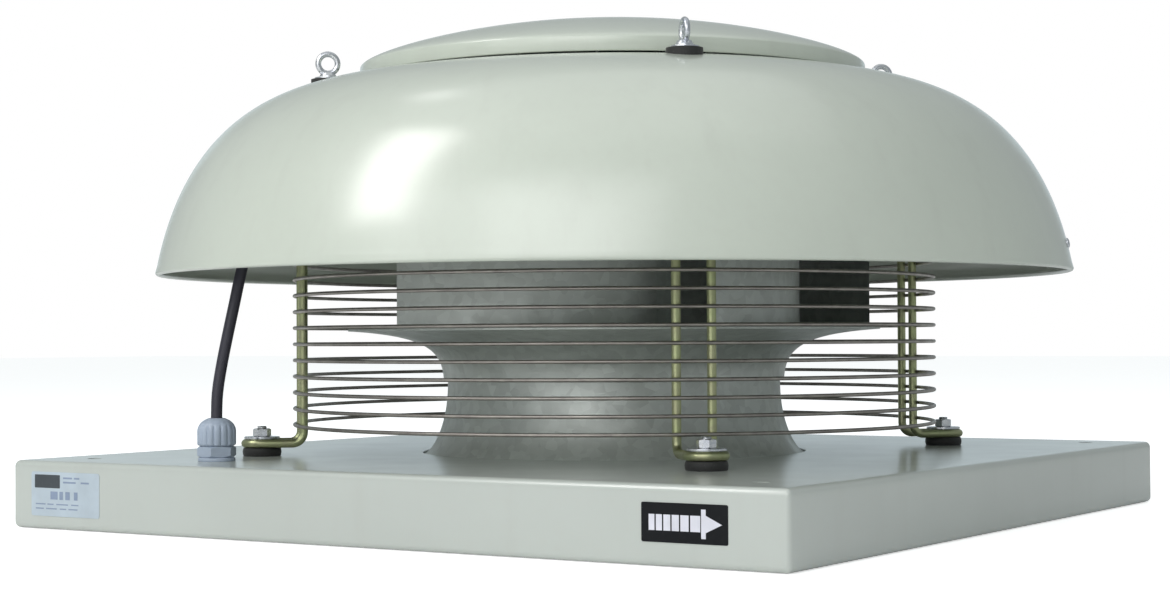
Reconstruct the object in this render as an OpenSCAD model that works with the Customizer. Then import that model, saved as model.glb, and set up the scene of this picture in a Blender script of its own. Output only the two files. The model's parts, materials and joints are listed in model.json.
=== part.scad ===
// Roof exhaust fan: a centrifugal wheel that hangs under a domed cowl and throws the air out
// sideways over a square base. Millimetres, +Z up, origin at the centre of the base's underside,
// front (the labelled side of the skirt) towards -Y.

/* [Base] */
// Side of the square base
base_side = 700; // [690:1:730]
// Height of the base's skirt
skirt_h = 54; // [52:1:60]
// Thickness of the folded base sheet
base_sheet = 2; // [1.5:0.5:2.5]
// Outer radius of the fold between top and skirt
fold_r = 5; // [4:1:8]
// Width of the lip that is folded in at the bottom of the skirt
lip_w = 12; // [8:1:16]
// Distance between the curb screw holes, both ways
curb_pitch = 610; // [590:5:630]
// Diameter of the curb screw holes
curb_hole_d = 12; // [10:1:14]

/* [Inlet nozzle] */
// Outer radius of the nozzle's throat
throat_r = 141; // [140:0.5:141.5]
// Width of the bell mouth around the throat
bell_w = 30; // [26:1:32]
// Height of the bell mouth
bell_h = 64; // [58:1:66]
// Outer radius of the nozzle's flange under the base
nozzle_flange_r = 195; // [190:1:205]
// Number of flange studs
nozzle_studs_n = 8; // [4:1:12]

/* [Impeller] */
// Outer radius of the wheel
wheel_r = 225; // [222:1:228]
// Outer radius of the wheel's eye
eye_r = 144.5; // [144:0.5:146]
// Height of the wheel's eye above the underside of the base
eye_z = 115; // [112:1:118]
// Height of the shroud's rim
shroud_z = 156; // [152:1:160]
// Height of the underside of the back plate
back_z = 246; // [244:1:247]
// Number of blades
blade_n = 5; // [3:1:9]
// Angle between a blade and the circles around the axis
blade_angle = 19; // [18:1:40]
// Radius of the blades' outer edges
blade_tip_r = 219; // [214:1:221]
// Radius of the blades' inner edges
blade_root_r = 149; // [149:1:156]
// Direction of the first blade's outer edge, from +X
blade_start = -109; // [-180:1:180]

/* [Legs and guard] */
// Distance from the axis to the legs' uprights
leg_r = 264; // [262:1:268]
// Diameter of the legs' rod
rod_d = 7; // [6:0.5:7]
// Distance between a leg's two uprights
leg_gap = 27; // [26:1:28]
// Distance from the axis to the foot bolts
foot_r = 297; // [294:1:300]
// Diameter of the rubber foot pads
pad_d = 32; // [28:1:34]
// Height of the rubber foot pads
pad_h = 7; // [6:1:8]
// Diameter of the guard wire
wire_d = 3; // [2.5:0.5:3]
// Height of the lowest guard ring
ring_z = 78.5; // [78.5:0.5:80]
// Distance between guard rings
ring_pitch = 13.4; // [12:0.1:13.4]
// Number of guard rings
ring_n = 13; // [6:1:13]

/* [Dome] */
// Outer radius of the dome's rim
dome_r = 383; // [378:1:386]
// Height of the dome's rim
dome_z = 202; // [200:1:205]
// Height of the dome's crown
crown_z = 364.5; // [364:0.5:366]
// Thickness of the dome and lid sheet
dome_sheet = 2; // [1.5:0.5:2]
// Radius of the motor's cooling opening in the crown
vent_r = 165; // [160:1:168]
// Distance from the axis to the lifting eyes
eyebolt_r = 242; // [240:1:244]

/* [Lid] */
// Outer radius of the lid over the cooling opening
lid_r = 214; // [212:1:216]
// Height of the lid's edge
lid_z = 366.5; // [366:0.5:367]
// Height of the lid's top
lid_top = 416; // [415:1:419]
// Distance from the axis to the lid's spacers
spacer_r = 186; // [184:1:188]

/* [Motor] */
// Outer radius of the motor frame's tube
frame_r = 68; // [66:1:69]
// Outer radius of the cooling fins
fin_r = 80; // [76:1:80]
// Number of cooling fins
fin_n = 24; // [24:24:24]

/* [Cable] */
// Diameter of the motor cable
cable_d = 9; // [8:0.5:9]
// Distance from the axis to the cable gland
gland_r = 343; // [343:1:343]
// Direction of the cable gland, from +X
gland_turn = -124; // [-128:1:-120]

/* [Labels] */
// Width of the rotation arrow's label
arrow_w = 65; // [60:1:80]
// Height of the rotation arrow's label
arrow_h = 26; // [20:1:32]
// Width of the rating plate
rating_w = 75; // [60:1:80]
// Height of the rating plate
rating_h = 35; // [28:1:38]

/* [Hidden] */
$fn = 96;
corner_angles = [-135, -45, 45, 135];

// Base and nozzle
half_side = base_side / 2;
plate_under = skirt_h - base_sheet;
nozzle_sheet = 1.5;
throat_z = plate_under + bell_h * 0.9375;
throat_top = throat_z + 10;
bell_centre_r = throat_r + bell_w;
flange_start = bell_centre_r - bell_w * 0.35;
base_hole_r = flange_start + 2;
nozzle_stud_r = 180;
stud6_r = 3;

// Wheel
wheel_sheet = 1.5;
back_sheet = 2;
back_top = back_z + back_sheet;
hub_r = 24;
hub_flange_r = 55;
hub_bottom = 206;
shaft_end_r = 9.5;
shaft_end_z = 207;
key_side = 6;
key_len = 28;
key_z = 212;
hub_rivet_n = 6;
hub_rivet_at = 44;

// Motor plate and the posts above it
plate_r = 280;
plate_z = 262;
plate_t = 3;
plate_top = plate_z + plate_t;
m8_r = 4;
m8_hole_r = 4.3;
m8_af = 13;
m8_nut_h = 6.5;
post_r = 8;

// Legs
rod_r = rod_d / 2;
bend_r = 9;
rod_z = skirt_h + pad_h + rod_r;
upright_z = rod_z + bend_r;
half_gap = leg_gap / 2;
rod_top = plate_top + 12;
clamp_z = rod_z + rod_r;
clamp_t = 2;
clamp_r = 14.5;
bolt_top = clamp_z + clamp_t + m8_nut_h + 2;
ring_r = sqrt(leg_r * leg_r + half_gap * half_gap) + rod_r + wire_d / 2 + 0.1;

// Dome and lid outlines, each one smooth curve from the rim to the axis
dome_curve = [[dome_r, dome_z], [dome_r - 23, dome_z + 129.5], [281, crown_z], [200, crown_z]];
lid_curve = [[lid_r, lid_z + 11], [lid_r - 0.5, lid_z + 18], [118, lid_top], [0, lid_top]];
curve_n = 26;
hem_r = 2.5;
neck_z = crown_z - dome_sheet;
neck_h = 9;
lid_nut_z = neck_z - 5;
rivet_turn = 17;
rivet_z = 224;
rivet_r = 378.4;
rivet_tilt = 12;
washer_top = 365;
eye_wire_r = 2.4;
eye_loop_r = 8;
collar_z = washer_top + 1.6;
collar_h = 4.6;

// Motor
frame_z = plate_top + 10;
frame_top = frame_z + 110;
motor_top = frame_top + 11;
shaft_r = 12;
seat_r = 10;
bearing_r = 23.5;
bearing_w = 14;
lower_bearing_z = plate_top + 5;
upper_bearing_z = frame_top - 9;
bearing_span = upper_bearing_z - lower_bearing_z;
boss_r = 31;
tie_z = plate_top + 3;
stator_z = plate_top + 30;
stator_h = 70;
stator_r = 62;
rotor_r = 35.4;
flange_screw_at = 72;
tie_at = 74;
tie_turn = 22.5;
ball_pitch_r = 16.75;
ball_r = 4;
ball_n = 8;
groove_r = 4.4;

// Terminal box, on the side of the motor that faces the cable gland
box_in = 84;
box_out = 124;
box_half = 34;
box_z = 288;
box_h = 56;
box_wall = 2.5;
entry_z = 312;

// Cable glands: the hexagon's width, then the dome nut
gland_af = 27;
gland_hex_h = 12;
gland_nut_h = 22;
gland_shank_r = 10;
bore_clear = 0.15;

// Route of the motor cable: distance from the axis, sideways, height
cable_route = [
    [343, 0, 24], [343, 0, 58], [343, 0, 92], [342, 0, 110], [339, 1, 130], [335, 3, 152], [330, 4, 176],
    [325, 5, 200], [319, 5, 224], [312, 5, 248], [302, 4, 270], [288, 3, 288], [270, 2, 301],
    [250, 1, 309], [230, 0, 312], [205, 0, 313], [180, 0, 312], [150, 0, 312], [114, 0, 312]
];
rings_per_span = 3;
tube_sides = 10;

label_t = 0.5;

// ---------------------------------------------------------------- shared shapes

function bezier(c, t) =
    let (s = 1 - t)
    s * s * s * c[0] + 3 * s * s * t * c[1] + 3 * s * t * t * c[2] + t * t * t * c[3];

function bezier_slope(c, t) =
    let (s = 1 - t)
    s * s * (c[1] - c[0]) + 2 * s * t * (c[2] - c[1]) + t * t * (c[3] - c[2]);

// Points along a curve from the rim inwards, moved into the sheet by inset, then level to the axis
function curve_points(c, inset) = concat(
    [
        for (i = [0 : curve_n])
            let (t = i / curve_n, p = bezier(c, t), d = bezier_slope(c, t), n = norm(d))
            [max(0, p[0] - inset * d[1] / n), p[1] + inset * d[0] / n]
    ],
    c[3][0] > 0 ? [[0, c[3][1] - inset]] : []
);

function reversed(list) = [for (i = [len(list) - 1 : -1 : 0]) list[i]];

// A spun sheet of thickness t whose outer face follows the curve
module spun_sheet(c, t) {
    rotate_extrude()
        polygon(concat(curve_points(c, 0), reversed(curve_points(c, t))));
}

// Everything below a curve, as one solid from the curve's rim upwards
module below_curve(c, inset) {
    points = curve_points(c, inset);
    rotate_extrude()
        polygon(concat([[0, points[0][1]]], points));
}

module tube(r_out, r_in, h) {
    difference() {
        cylinder(r = r_out, h = h);
        translate([0, 0, -1]) cylinder(r = r_in, h = h + 2);
    }
}

module hexagon(af, h) {
    cylinder(d = af / cos(30), h = h, $fn = 6);
}

module hex_nut(af, r_in, h) {
    difference() {
        hexagon(af, h);
        translate([0, 0, -1]) cylinder(r = r_in, h = h + 2);
    }
}

module at_corners(r) {
    for (a = corner_angles) rotate(a) translate([r, 0, 0]) children();
}

module around(n, r, start = 0) {
    for (i = [0 : n - 1]) rotate(start + i * 360 / n) translate([r, 0, 0]) children();
}

// A torus of radius r about Z
module ring(r, wire) {
    rotate_extrude() translate([r, 0]) circle(r = wire, $fn = 32);
}

// ---------------------------------------------------------------- base and nozzle

// Profile of the folded top and skirts: a rectangle with its two top corners rounded
module folded_profile(half, top, r) {
    translate([-half, 0]) square([2 * half, top - r]);
    translate([-half + r, 0]) square([2 * (half - r), top]);
    for (side = [-1, 1]) translate([side * (half - r), top - r]) circle(r = r);
}

module folded_block(half, bottom, top, r) {
    intersection() {
        translate([0, half + 1, bottom]) rotate([90, 0, 0])
            linear_extrude(2 * half + 2) folded_profile(half, top - bottom, r);
        rotate(90) translate([0, half + 1, bottom]) rotate([90, 0, 0])
            linear_extrude(2 * half + 2) folded_profile(half, top - bottom, r);
    }
}

module base_plate() {
    inner_half = half_side - base_sheet;
    color([0.71, 0.74, 0.71]) difference() {
        folded_block(half_side, 0, skirt_h, fold_r);
        folded_block(inner_half, base_sheet, plate_under, fold_r - base_sheet);
        translate([-inner_half + lip_w, -inner_half + lip_w, -1])
            cube([2 * (inner_half - lip_w), 2 * (inner_half - lip_w), base_sheet + 2]);
        translate([0, 0, plate_under - 1]) cylinder(r = base_hole_r, h = base_sheet + 2);
        for (x = [-1, 1], y = [-1, 1])
            translate([x * curb_pitch / 2, y * curb_pitch / 2, plate_under - 1])
                cylinder(d = curb_hole_d, h = base_sheet + 2);
        at_corners(foot_r) translate([0, 0, plate_under - 1]) cylinder(r = m8_hole_r, h = base_sheet + 2);
        at_gland(plate_under - 1) cylinder(r = gland_shank_r + 0.2, h = base_sheet + 2);
    }
}

// One wall of the bell mouth: a quarter of an ellipse, from the flange up to the throat
function bell_points(extra) = [
    for (i = [0 : 12])
        let (a = 69.64 * (1 - i / 12))
        [bell_centre_r - (bell_w + extra) * cos(a), throat_z - (bell_h + extra) * sin(a)]
];

module inlet_nozzle() {
    outer = bell_points(0);
    inner = bell_points(nozzle_sheet);
    outline = concat(
        [[nozzle_flange_r, plate_under - nozzle_sheet], [nozzle_flange_r, plate_under]],
        outer,
        [[throat_r, throat_top], [throat_r - nozzle_sheet, throat_top]],
        reversed(inner)
    );
    color([0.66, 0.68, 0.68]) difference() {
        rotate_extrude() polygon(outline);
        around(nozzle_studs_n, nozzle_stud_r, 22.5)
            translate([0, 0, plate_under - 3]) cylinder(r = stud6_r + 0.2, h = 4);
    }
}

// Threaded studs welded under the base for the nozzle's flange, and under the lid
module weld_studs() {
    color([0.75, 0.76, 0.78]) {
        around(nozzle_studs_n, nozzle_stud_r, 22.5)
            translate([0, 0, plate_under - 14]) cylinder(r = stud6_r, h = 14);
        intersection() {
            at_corners(spacer_r) translate([0, 0, lid_nut_z - 3]) cylinder(r = stud6_r, h = 50);
            below_curve(lid_curve, dome_sheet);
        }
    }
}

module m6_nuts() {
    color([0.75, 0.76, 0.78]) {
        around(nozzle_studs_n, nozzle_stud_r, 22.5)
            translate([0, 0, plate_under - nozzle_sheet - 5]) hex_nut(10, stud6_r, 5);
        at_corners(spacer_r) translate([0, 0, lid_nut_z]) hex_nut(10, stud6_r, 5);
    }
}

// ---------------------------------------------------------------- feet, legs and guard

module foot_pads() {
    color([0.06, 0.06, 0.06]) at_corners(foot_r)
        translate([0, 0, skirt_h]) tube(pad_d / 2, m8_r + 0.2, pad_h);
}

// Hexagon bolts from below, through the base, the pad and the bend of the leg
module foot_bolts() {
    color([0.78, 0.79, 0.8]) at_corners(foot_r) {
        translate([0, 0, plate_under - 5.3]) hexagon(m8_af, 5.3);
        translate([0, 0, plate_under - 1]) cylinder(r = m8_r, h = bolt_top - plate_under + 1);
    }
}

module foot_washers() {
    color([0.85, 0.85, 0.85]) at_corners(foot_r)
        translate([0, 0, clamp_z]) tube(clamp_r, m8_hole_r, clamp_t);
}

module m8_nut() { hex_nut(m8_af, m8_r, m8_nut_h); }

// On the feet, on both sides of the motor plate on each leg's ends, and on the eye bolts
module m8_nuts() {
    color([0.78, 0.79, 0.8]) {
        at_corners(foot_r) translate([0, 0, clamp_z + clamp_t]) m8_nut();
        for (side = [-1, 1], z = [plate_z - m8_nut_h, plate_top])
            at_corners(leg_r) translate([0, side * half_gap, z]) m8_nut();
        at_corners(eyebolt_r) translate([0, 0, plate_z - m8_nut_h]) m8_nut();
    }
}

// A hairpin of bent rod: two uprights, bent outwards at the bottom and joined by a half circle
module leg(angle) {
    color([0.66, 0.62, 0.38]) rotate(angle) {
        for (side = [-1, 1]) translate([leg_r, side * half_gap, 0]) {
            translate([0, 0, upright_z]) cylinder(r = rod_r, h = rod_top - upright_z);
            translate([0, 0, plate_z - 14]) cylinder(r = m8_r, h = rod_top - plate_z + 14);
            translate([bend_r, 0, upright_z]) rotate([90, 0, 0])
                rotate_extrude(angle = 90, start = 180) translate([bend_r, 0]) circle(r = rod_r, $fn = 32);
            translate([bend_r, 0, rod_z]) rotate([0, 90, 0])
                cylinder(r = rod_r, h = foot_r - leg_r - bend_r, $fn = 32);
        }
        translate([foot_r, 0, rod_z])
            rotate_extrude(angle = 180, start = -90) translate([half_gap, 0]) circle(r = rod_r, $fn = 32);
    }
}

module leg_front_left() { leg(corner_angles[0]); }
module leg_front_right() { leg(corner_angles[1]); }
module leg_rear_right() { leg(corner_angles[2]); }
module leg_rear_left() { leg(corner_angles[3]); }

module guard_rings() {
    color([0.36, 0.33, 0.31]) for (i = [0 : ring_n - 1])
        translate([0, 0, ring_z + i * ring_pitch]) ring(ring_r, wire_d / 2);
}

// ---------------------------------------------------------------- motor

module motor_plate() {
    color([0.7, 0.71, 0.72]) translate([0, 0, plate_z]) difference() {
        cylinder(r = plate_r, h = plate_t);
        translate([0, 0, -1]) cylinder(r = 32, h = plate_t + 2);
        at_corners(eyebolt_r) translate([0, 0, -1]) cylinder(r = m8_hole_r, h = plate_t + 2);
        at_corners(leg_r) for (side = [-1, 1])
            translate([0, side * half_gap, -1]) cylinder(r = m8_hole_r, h = plate_t + 2);
        around(4, flange_screw_at) translate([0, 0, -1]) cylinder(r = m8_hole_r, h = plate_t + 2);
    }
}

module motor_screws() {
    color([0.78, 0.79, 0.8]) around(4, flange_screw_at) {
        translate([0, 0, plate_z - 6.9]) hexagon(m8_af, 5.3);
        translate([0, 0, plate_z - 2]) cylinder(r = m8_r, h = 13);
    }
}

module motor_washers() {
    color([0.82, 0.82, 0.83]) around(4, flange_screw_at)
        translate([0, 0, plate_z - 1.6]) tube(8, m8_hole_r, 1.6);
}

module lower_end_shield() {
    color([0.45, 0.48, 0.5]) difference() {
        union() {
            translate([0, 0, plate_top]) cylinder(r = 85, h = frame_z - plate_top);
            translate([0, 0, plate_top]) cylinder(r = boss_r, h = bearing_w + 7);
        }
        translate([0, 0, lower_bearing_z]) cylinder(r = bearing_r, h = 30);
        translate([0, 0, plate_top - 1]) cylinder(r = 16, h = 20);
        around(4, flange_screw_at) translate([0, 0, plate_top - 1]) cylinder(r = m8_r, h = 9);
        around(4, tie_at, tie_turn) translate([0, 0, tie_z]) cylinder(r = 2.5, h = 20);
    }
}

// Finned tube with a flat seat for the terminal box
module motor_frame() {
    h = frame_top - frame_z;
    color([0.45, 0.48, 0.5]) difference() {
        union() {
            translate([0, 0, frame_z]) cylinder(r = frame_r, h = h);
            around(fin_n, frame_r - 3) translate([0, -1.25, frame_z + 4])
                cube([fin_r - frame_r + 3, 2.5, h - 8]);
            rotate(gland_turn) translate([frame_r - 8, -26, box_z + 8])
                cube([box_in - frame_r + 8, 52, 44]);
        }
        translate([0, 0, frame_z - 1]) cylinder(r = stator_r, h = h + 2);
        rotate(gland_turn) translate([0, 0, entry_z + 12]) rotate([0, 90, 0]) cylinder(r = 8, h = 100);
    }
}

module upper_end_shield() {
    color([0.45, 0.48, 0.5]) difference() {
        union() {
            translate([0, 0, frame_top]) cylinder(r = fin_r, h = 6);
            translate([0, 0, upper_bearing_z - 2])
                cylinder(r = boss_r, h = motor_top - upper_bearing_z + 2);
        }
        translate([0, 0, upper_bearing_z - 3]) cylinder(r = bearing_r, h = bearing_w + 4.2);
        around(4, tie_at, tie_turn) translate([0, 0, frame_top - 5]) cylinder(r = 2.7, h = 20);
    }
}

module tie_rods() {
    color([0.75, 0.76, 0.78]) around(4, tie_at, tie_turn) {
        translate([0, 0, tie_z]) cylinder(r = 2.5, h = frame_top + 7 - tie_z);
        translate([0, 0, frame_top + 6]) cylinder(r = 4.5, h = 5);
    }
}

module stator_core() {
    color([0.35, 0.36, 0.38]) translate([0, 0, stator_z]) tube(stator_r, 36, stator_h);
}

// End windings below and above the core
module stator_windings() {
    color([0.72, 0.35, 0.15]) for (z = [stator_z - 14, stator_z + stator_h])
        translate([0, 0, z]) tube(57, 41, 14);
}

module outer_race() {
    difference() {
        tube(bearing_r, 19.5, bearing_w);
        translate([0, 0, bearing_w / 2]) ring(ball_pitch_r, groove_r);
    }
}

module inner_race() {
    difference() {
        tube(14, seat_r, bearing_w);
        translate([0, 0, bearing_w / 2]) ring(ball_pitch_r, groove_r);
    }
}

// Balls in the round windows of a plain ring
module ball_cage() {
    translate([0, 0, bearing_w / 2]) {
        difference() {
            translate([0, 0, -5.5]) tube(17.8, 15.7, 11);
            around(ball_n, 10) rotate([0, 90, 0]) cylinder(r = ball_r + 0.2, h = 12);
        }
        around(ball_n, ball_pitch_r) sphere(r = ball_r);
    }
}

module outer_races() {
    color([0.6, 0.62, 0.65]) for (z = [lower_bearing_z, upper_bearing_z]) translate([0, 0, z]) outer_race();
}

module inner_races() {
    color([0.6, 0.62, 0.65]) for (z = [lower_bearing_z, upper_bearing_z]) translate([0, 0, z]) inner_race();
}

module lower_ball_cage() { color([0.75, 0.65, 0.4]) translate([0, 0, lower_bearing_z]) ball_cage(); }
module upper_ball_cage() { color([0.75, 0.65, 0.4]) translate([0, 0, upper_bearing_z]) ball_cage(); }

module wave_washer() {
    color([0.7, 0.7, 0.72]) translate([0, 0, upper_bearing_z + bearing_w]) tube(23, 19.5, 1.2);
}

module motor_shaft() {
    color([0.62, 0.63, 0.65]) difference() {
        union() {
            translate([0, 0, shaft_end_z]) cylinder(r = shaft_end_r, h = lower_bearing_z - shaft_end_z);
            translate([0, 0, lower_bearing_z]) cylinder(r = seat_r, h = bearing_span + bearing_w);
            translate([0, 0, lower_bearing_z + bearing_w])
                cylinder(r = shaft_r, h = bearing_span - bearing_w);
        }
        translate([0, 0, shaft_end_z - 1]) cylinder(r = stud6_r, h = 20);
        translate([shaft_end_r - 3.5, -key_side / 2, key_z]) cube([10, key_side, key_len]);
    }
}

module rotor_core() {
    color([0.35, 0.36, 0.38]) translate([0, 0, stator_z]) tube(rotor_r, shaft_r, stator_h);
}

module rotor_end_rings() {
    color([0.78, 0.79, 0.8]) for (z = [stator_z - 7, stator_z + stator_h])
        translate([0, 0, z]) tube(34, 24, 7);
}

module shaft_seal() {
    color([0.08, 0.08, 0.08]) translate([0, 0, plate_z - 2]) tube(15, shaft_end_r, 4.5);
}

// ---------------------------------------------------------------- wheel

module shaft_key() {
    color([0.6, 0.6, 0.62]) translate([shaft_end_r - 3.5, -key_side / 2, key_z])
        cube([key_side, key_side, key_len]);
}

module impeller_hub() {
    color([0.6, 0.61, 0.62]) difference() {
        union() {
            translate([0, 0, hub_bottom]) cylinder(r = hub_r, h = back_z - hub_bottom);
            translate([0, 0, back_z - 6]) cylinder(r = hub_flange_r, h = 6);
        }
        translate([0, 0, hub_bottom - 1]) cylinder(r = shaft_end_r, h = 60);
        translate([shaft_end_r - 3.5, -key_side / 2, hub_bottom - 1]) cube([key_side, key_side, 60]);
        around(hub_rivet_n, hub_rivet_at, 30) translate([0, 0, back_z - 10]) cylinder(r = 2.5, h = 20);
    }
}

module hub_rivets() {
    color([0.7, 0.71, 0.72]) around(hub_rivet_n, hub_rivet_at, 30) {
        translate([0, 0, back_z - 6]) cylinder(r = 2.5, h = 6 + back_sheet);
        translate([0, 0, back_z - 8]) cylinder(r1 = 3, r2 = 4.5, h = 2);
        translate([0, 0, back_top]) cylinder(r1 = 4.5, r2 = 3, h = 2);
    }
}

module impeller_back_plate() {
    color([0.66, 0.68, 0.68]) translate([0, 0, back_z]) difference() {
        cylinder(r = wheel_r, h = back_sheet);
        translate([0, 0, -1]) cylinder(r = shaft_end_r + 1, h = back_sheet + 2);
        around(hub_rivet_n, hub_rivet_at, 30) translate([0, 0, -1]) cylinder(r = 2.5, h = back_sheet + 2);
    }
}

shroud_curve = [[eye_r, eye_z], [eye_r + 1.5, eye_z + 25], [160, shroud_z - 4], [wheel_r, shroud_z]];

function shroud_points(inset) = [
    for (i = [0 : 16])
        let (t = i / 16, p = bezier(shroud_curve, t), d = bezier_slope(shroud_curve, t), n = norm(d))
        [p[0] - inset * d[1] / n, p[1] + inset * d[0] / n]
];

// The ring that joins the blades' lower edges and leads the air in from the eye
module impeller_shroud() {
    color([0.66, 0.68, 0.68]) rotate_extrude()
        polygon(concat(shroud_points(0), reversed(shroud_points(wheel_sheet))));
}

function blade_turn(r) = ln(blade_tip_r / r) / tan(blade_angle) * 180 / PI;

// A blade's outline in plan: a spiral that always crosses the circles at the same angle
function blade_side(side) = [
    for (i = [0 : 10])
        let (
            r = blade_root_r + (blade_tip_r - blade_root_r) * i / 10,
            half = wheel_sheet / sin(blade_angle) / r * 90 / PI,
            a = blade_turn(r) + side * half
        )
        [r * cos(a), r * sin(a)]
];

module impeller_blades() {
    inner = shroud_points(wheel_sheet);
    color([0.68, 0.7, 0.7]) difference() {
        for (i = [0 : blade_n - 1]) rotate(blade_start + i * 360 / blade_n)
            translate([0, 0, eye_z]) linear_extrude(back_z - eye_z)
                polygon(concat(blade_side(-1), reversed(blade_side(1))));
        rotate_extrude() polygon(concat([[eye_r - 20, eye_z - 10]], inner, [[wheel_r, eye_z - 10]]));
    }
}

// Bolt and washer that hold the hub on the shaft's end
module hub_end_bolt() {
    color([0.78, 0.79, 0.8]) {
        translate([0, 0, hub_bottom - 3]) cylinder(r = 15, h = 3);
        translate([0, 0, hub_bottom - 7]) hexagon(10, 4);
        translate([0, 0, hub_bottom - 1]) cylinder(r = stud6_r, h = 16);
    }
}

// ---------------------------------------------------------------- terminal box

module in_box_frame() {
    color([0.5, 0.53, 0.55]) rotate(gland_turn) children();
}

module terminal_box() {
    in_box_frame() difference() {
        union() {
            difference() {
                translate([box_in, -box_half, box_z]) cube([box_out - box_in, 2 * box_half, box_h]);
                translate([box_in + box_wall, -box_half + box_wall, box_z + box_wall])
                    cube([box_out - box_in - 2 * box_wall, 2 * (box_half - box_wall), box_h]);
            }
            for (x = [box_in + 5, box_out - 5], y = [-box_half + 5, box_half - 5])
                translate([x, y, box_z]) cylinder(r = 4.5, h = box_h);
        }
        for (x = [box_in + 5, box_out - 5], y = [-box_half + 5, box_half - 5])
            translate([x, y, box_z + box_h - 14]) cylinder(r = 2, h = 20);
        translate([box_out - 10, 0, entry_z]) rotate([0, 90, 0]) cylinder(r = 8.2, h = 20);
        translate([box_in - 5, 0, entry_z + 12]) rotate([0, 90, 0]) cylinder(r = 8, h = 10);
    }
}

module terminal_box_lid() {
    in_box_frame() difference() {
        translate([box_in, -box_half, box_z + box_h]) cube([box_out - box_in, 2 * box_half, 3]);
        for (x = [box_in + 5, box_out - 5], y = [-box_half + 5, box_half - 5])
            translate([x, y, box_z + box_h - 1]) cylinder(r = 2.2, h = 5);
    }
}

module terminal_block() {
    color([0.12, 0.12, 0.12]) rotate(gland_turn)
        translate([box_in + 6, -18, box_z + box_wall]) cube([12, 36, 27]);
}

module lid_screws() {
    color([0.75, 0.76, 0.78]) rotate(gland_turn)
        for (x = [box_in + 5, box_out - 5], y = [-box_half + 5, box_half - 5]) translate([x, y, 0]) {
            translate([0, 0, box_z + box_h - 12]) cylinder(r = 2, h = 16);
            translate([0, 0, box_z + box_h + 3]) cylinder(r = 3.6, h = 2.2);
        }
}

// ---------------------------------------------------------------- cable and its glands

// A gland's body about +Z: shank below the wall, hexagon above it
module gland_body(af, shank_r, shank_h, hex_h, bore) {
    difference() {
        union() {
            translate([0, 0, -shank_h]) cylinder(r = shank_r, h = shank_h + 1);
            hexagon(af, hex_h);
        }
        translate([0, 0, -shank_h - 1]) cylinder(r = bore, h = shank_h + hex_h + 2);
    }
}

// A gland's dome nut about +Z: a hexagon that turns into a ball
module gland_cap(af, h, bore) {
    difference() {
        union() {
            hexagon(af, h * 0.45);
            intersection() {
                translate([0, 0, h * 0.4]) sphere(r = h * 0.62);
                cylinder(r = af / 2 - 0.5, h = h);
            }
        }
        translate([0, 0, -1]) cylinder(r = bore, h = h + 2);
    }
}

module at_gland(z) {
    rotate(gland_turn) translate([gland_r, 0, z]) children();
}

module cable_gland() {
    color([0.58, 0.65, 0.75]) at_gland(skirt_h)
        gland_body(gland_af, gland_shank_r, 14, gland_hex_h, cable_d / 2 + bore_clear);
}

module cable_gland_nut() {
    color([0.58, 0.65, 0.75]) at_gland(skirt_h + gland_hex_h)
        gland_cap(gland_af + 2, gland_nut_h, cable_d / 2 + bore_clear);
}

module cable_gland_locknut() {
    color([0.58, 0.65, 0.75]) at_gland(plate_under - 5) hex_nut(gland_af, gland_shank_r, 5);
}

module at_box_entry() {
    rotate(gland_turn) translate([box_out, 0, entry_z]) rotate([0, 90, 0]) children();
}

module box_gland() {
    color([0.4, 0.42, 0.45]) at_box_entry() gland_body(22, 8, 9, 6, cable_d / 2 + bore_clear);
}

module box_gland_nut() {
    color([0.4, 0.42, 0.45]) at_box_entry() translate([0, 0, 6]) gland_cap(22, 14, cable_d / 2 + bore_clear);
}

// A point of the cable route as x, y, z
function route_point(i) =
    let (k = min(max(i, 0), len(cable_route) - 1), p = cable_route[k])
    [p[0] * cos(gland_turn) - p[1] * sin(gland_turn), p[0] * sin(gland_turn) + p[1] * cos(gland_turn), p[2]];

// Smooth curve through the route's points
function route_at(u) =
    let (
        i = min(floor(u), len(cable_route) - 2), t = u - i,
        a = route_point(i - 1), b = route_point(i), c = route_point(i + 1), d = route_point(i + 2)
    )
    0.5 * (2 * b + (c - a) * t + (2 * a - 5 * b + 4 * c - d) * t * t + (3 * b - a - 3 * c + d) * t * t * t);

module motor_cable() {
    spans = len(cable_route) - 1;
    rings = spans * rings_per_span;
    sideways = [-sin(gland_turn), cos(gland_turn), 0];
    centres = [for (k = [0 : rings]) route_at(k / rings_per_span)];
    points = [
        for (k = [0 : rings])
            let (
                along = centres[min(k + 1, rings)] - centres[max(k - 1, 0)],
                v = cross(along, sideways) / norm(cross(along, sideways)),
                w = cross(v, along) / norm(along)
            )
            for (j = [0 : tube_sides - 1])
                let (a = j * 360 / tube_sides)
                centres[k] + cable_d / 2 * (cos(a) * w + sin(a) * v)
    ];
    walls = [
        for (k = [0 : rings - 1], j = [0 : tube_sides - 1])
            let (n = tube_sides, j2 = (j + 1) % n)
            [k * n + j, (k + 1) * n + j, (k + 1) * n + j2, k * n + j2]
    ];
    first = [for (j = [0 : tube_sides - 1]) j];
    last = [for (j = [tube_sides - 1 : -1 : 0]) rings * tube_sides + j];
    color([0.13, 0.13, 0.16]) polyhedron(points = points, faces = concat(walls, [first, last]));
}

// The bared cores at both ends: three with ferrules under the base, three into the terminal block
module cable_cores() {
    color([0.45, 0.3, 0.2]) {
        at_gland(8) around(3, 2.2) cylinder(r = 1.4, h = 16);
        rotate(gland_turn) for (y = [-3, 0, 3])
            translate([box_in + 18, y, entry_z]) rotate([0, 90, 0]) cylinder(r = 1.3, h = 12);
    }
}

// ---------------------------------------------------------------- dome

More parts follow.
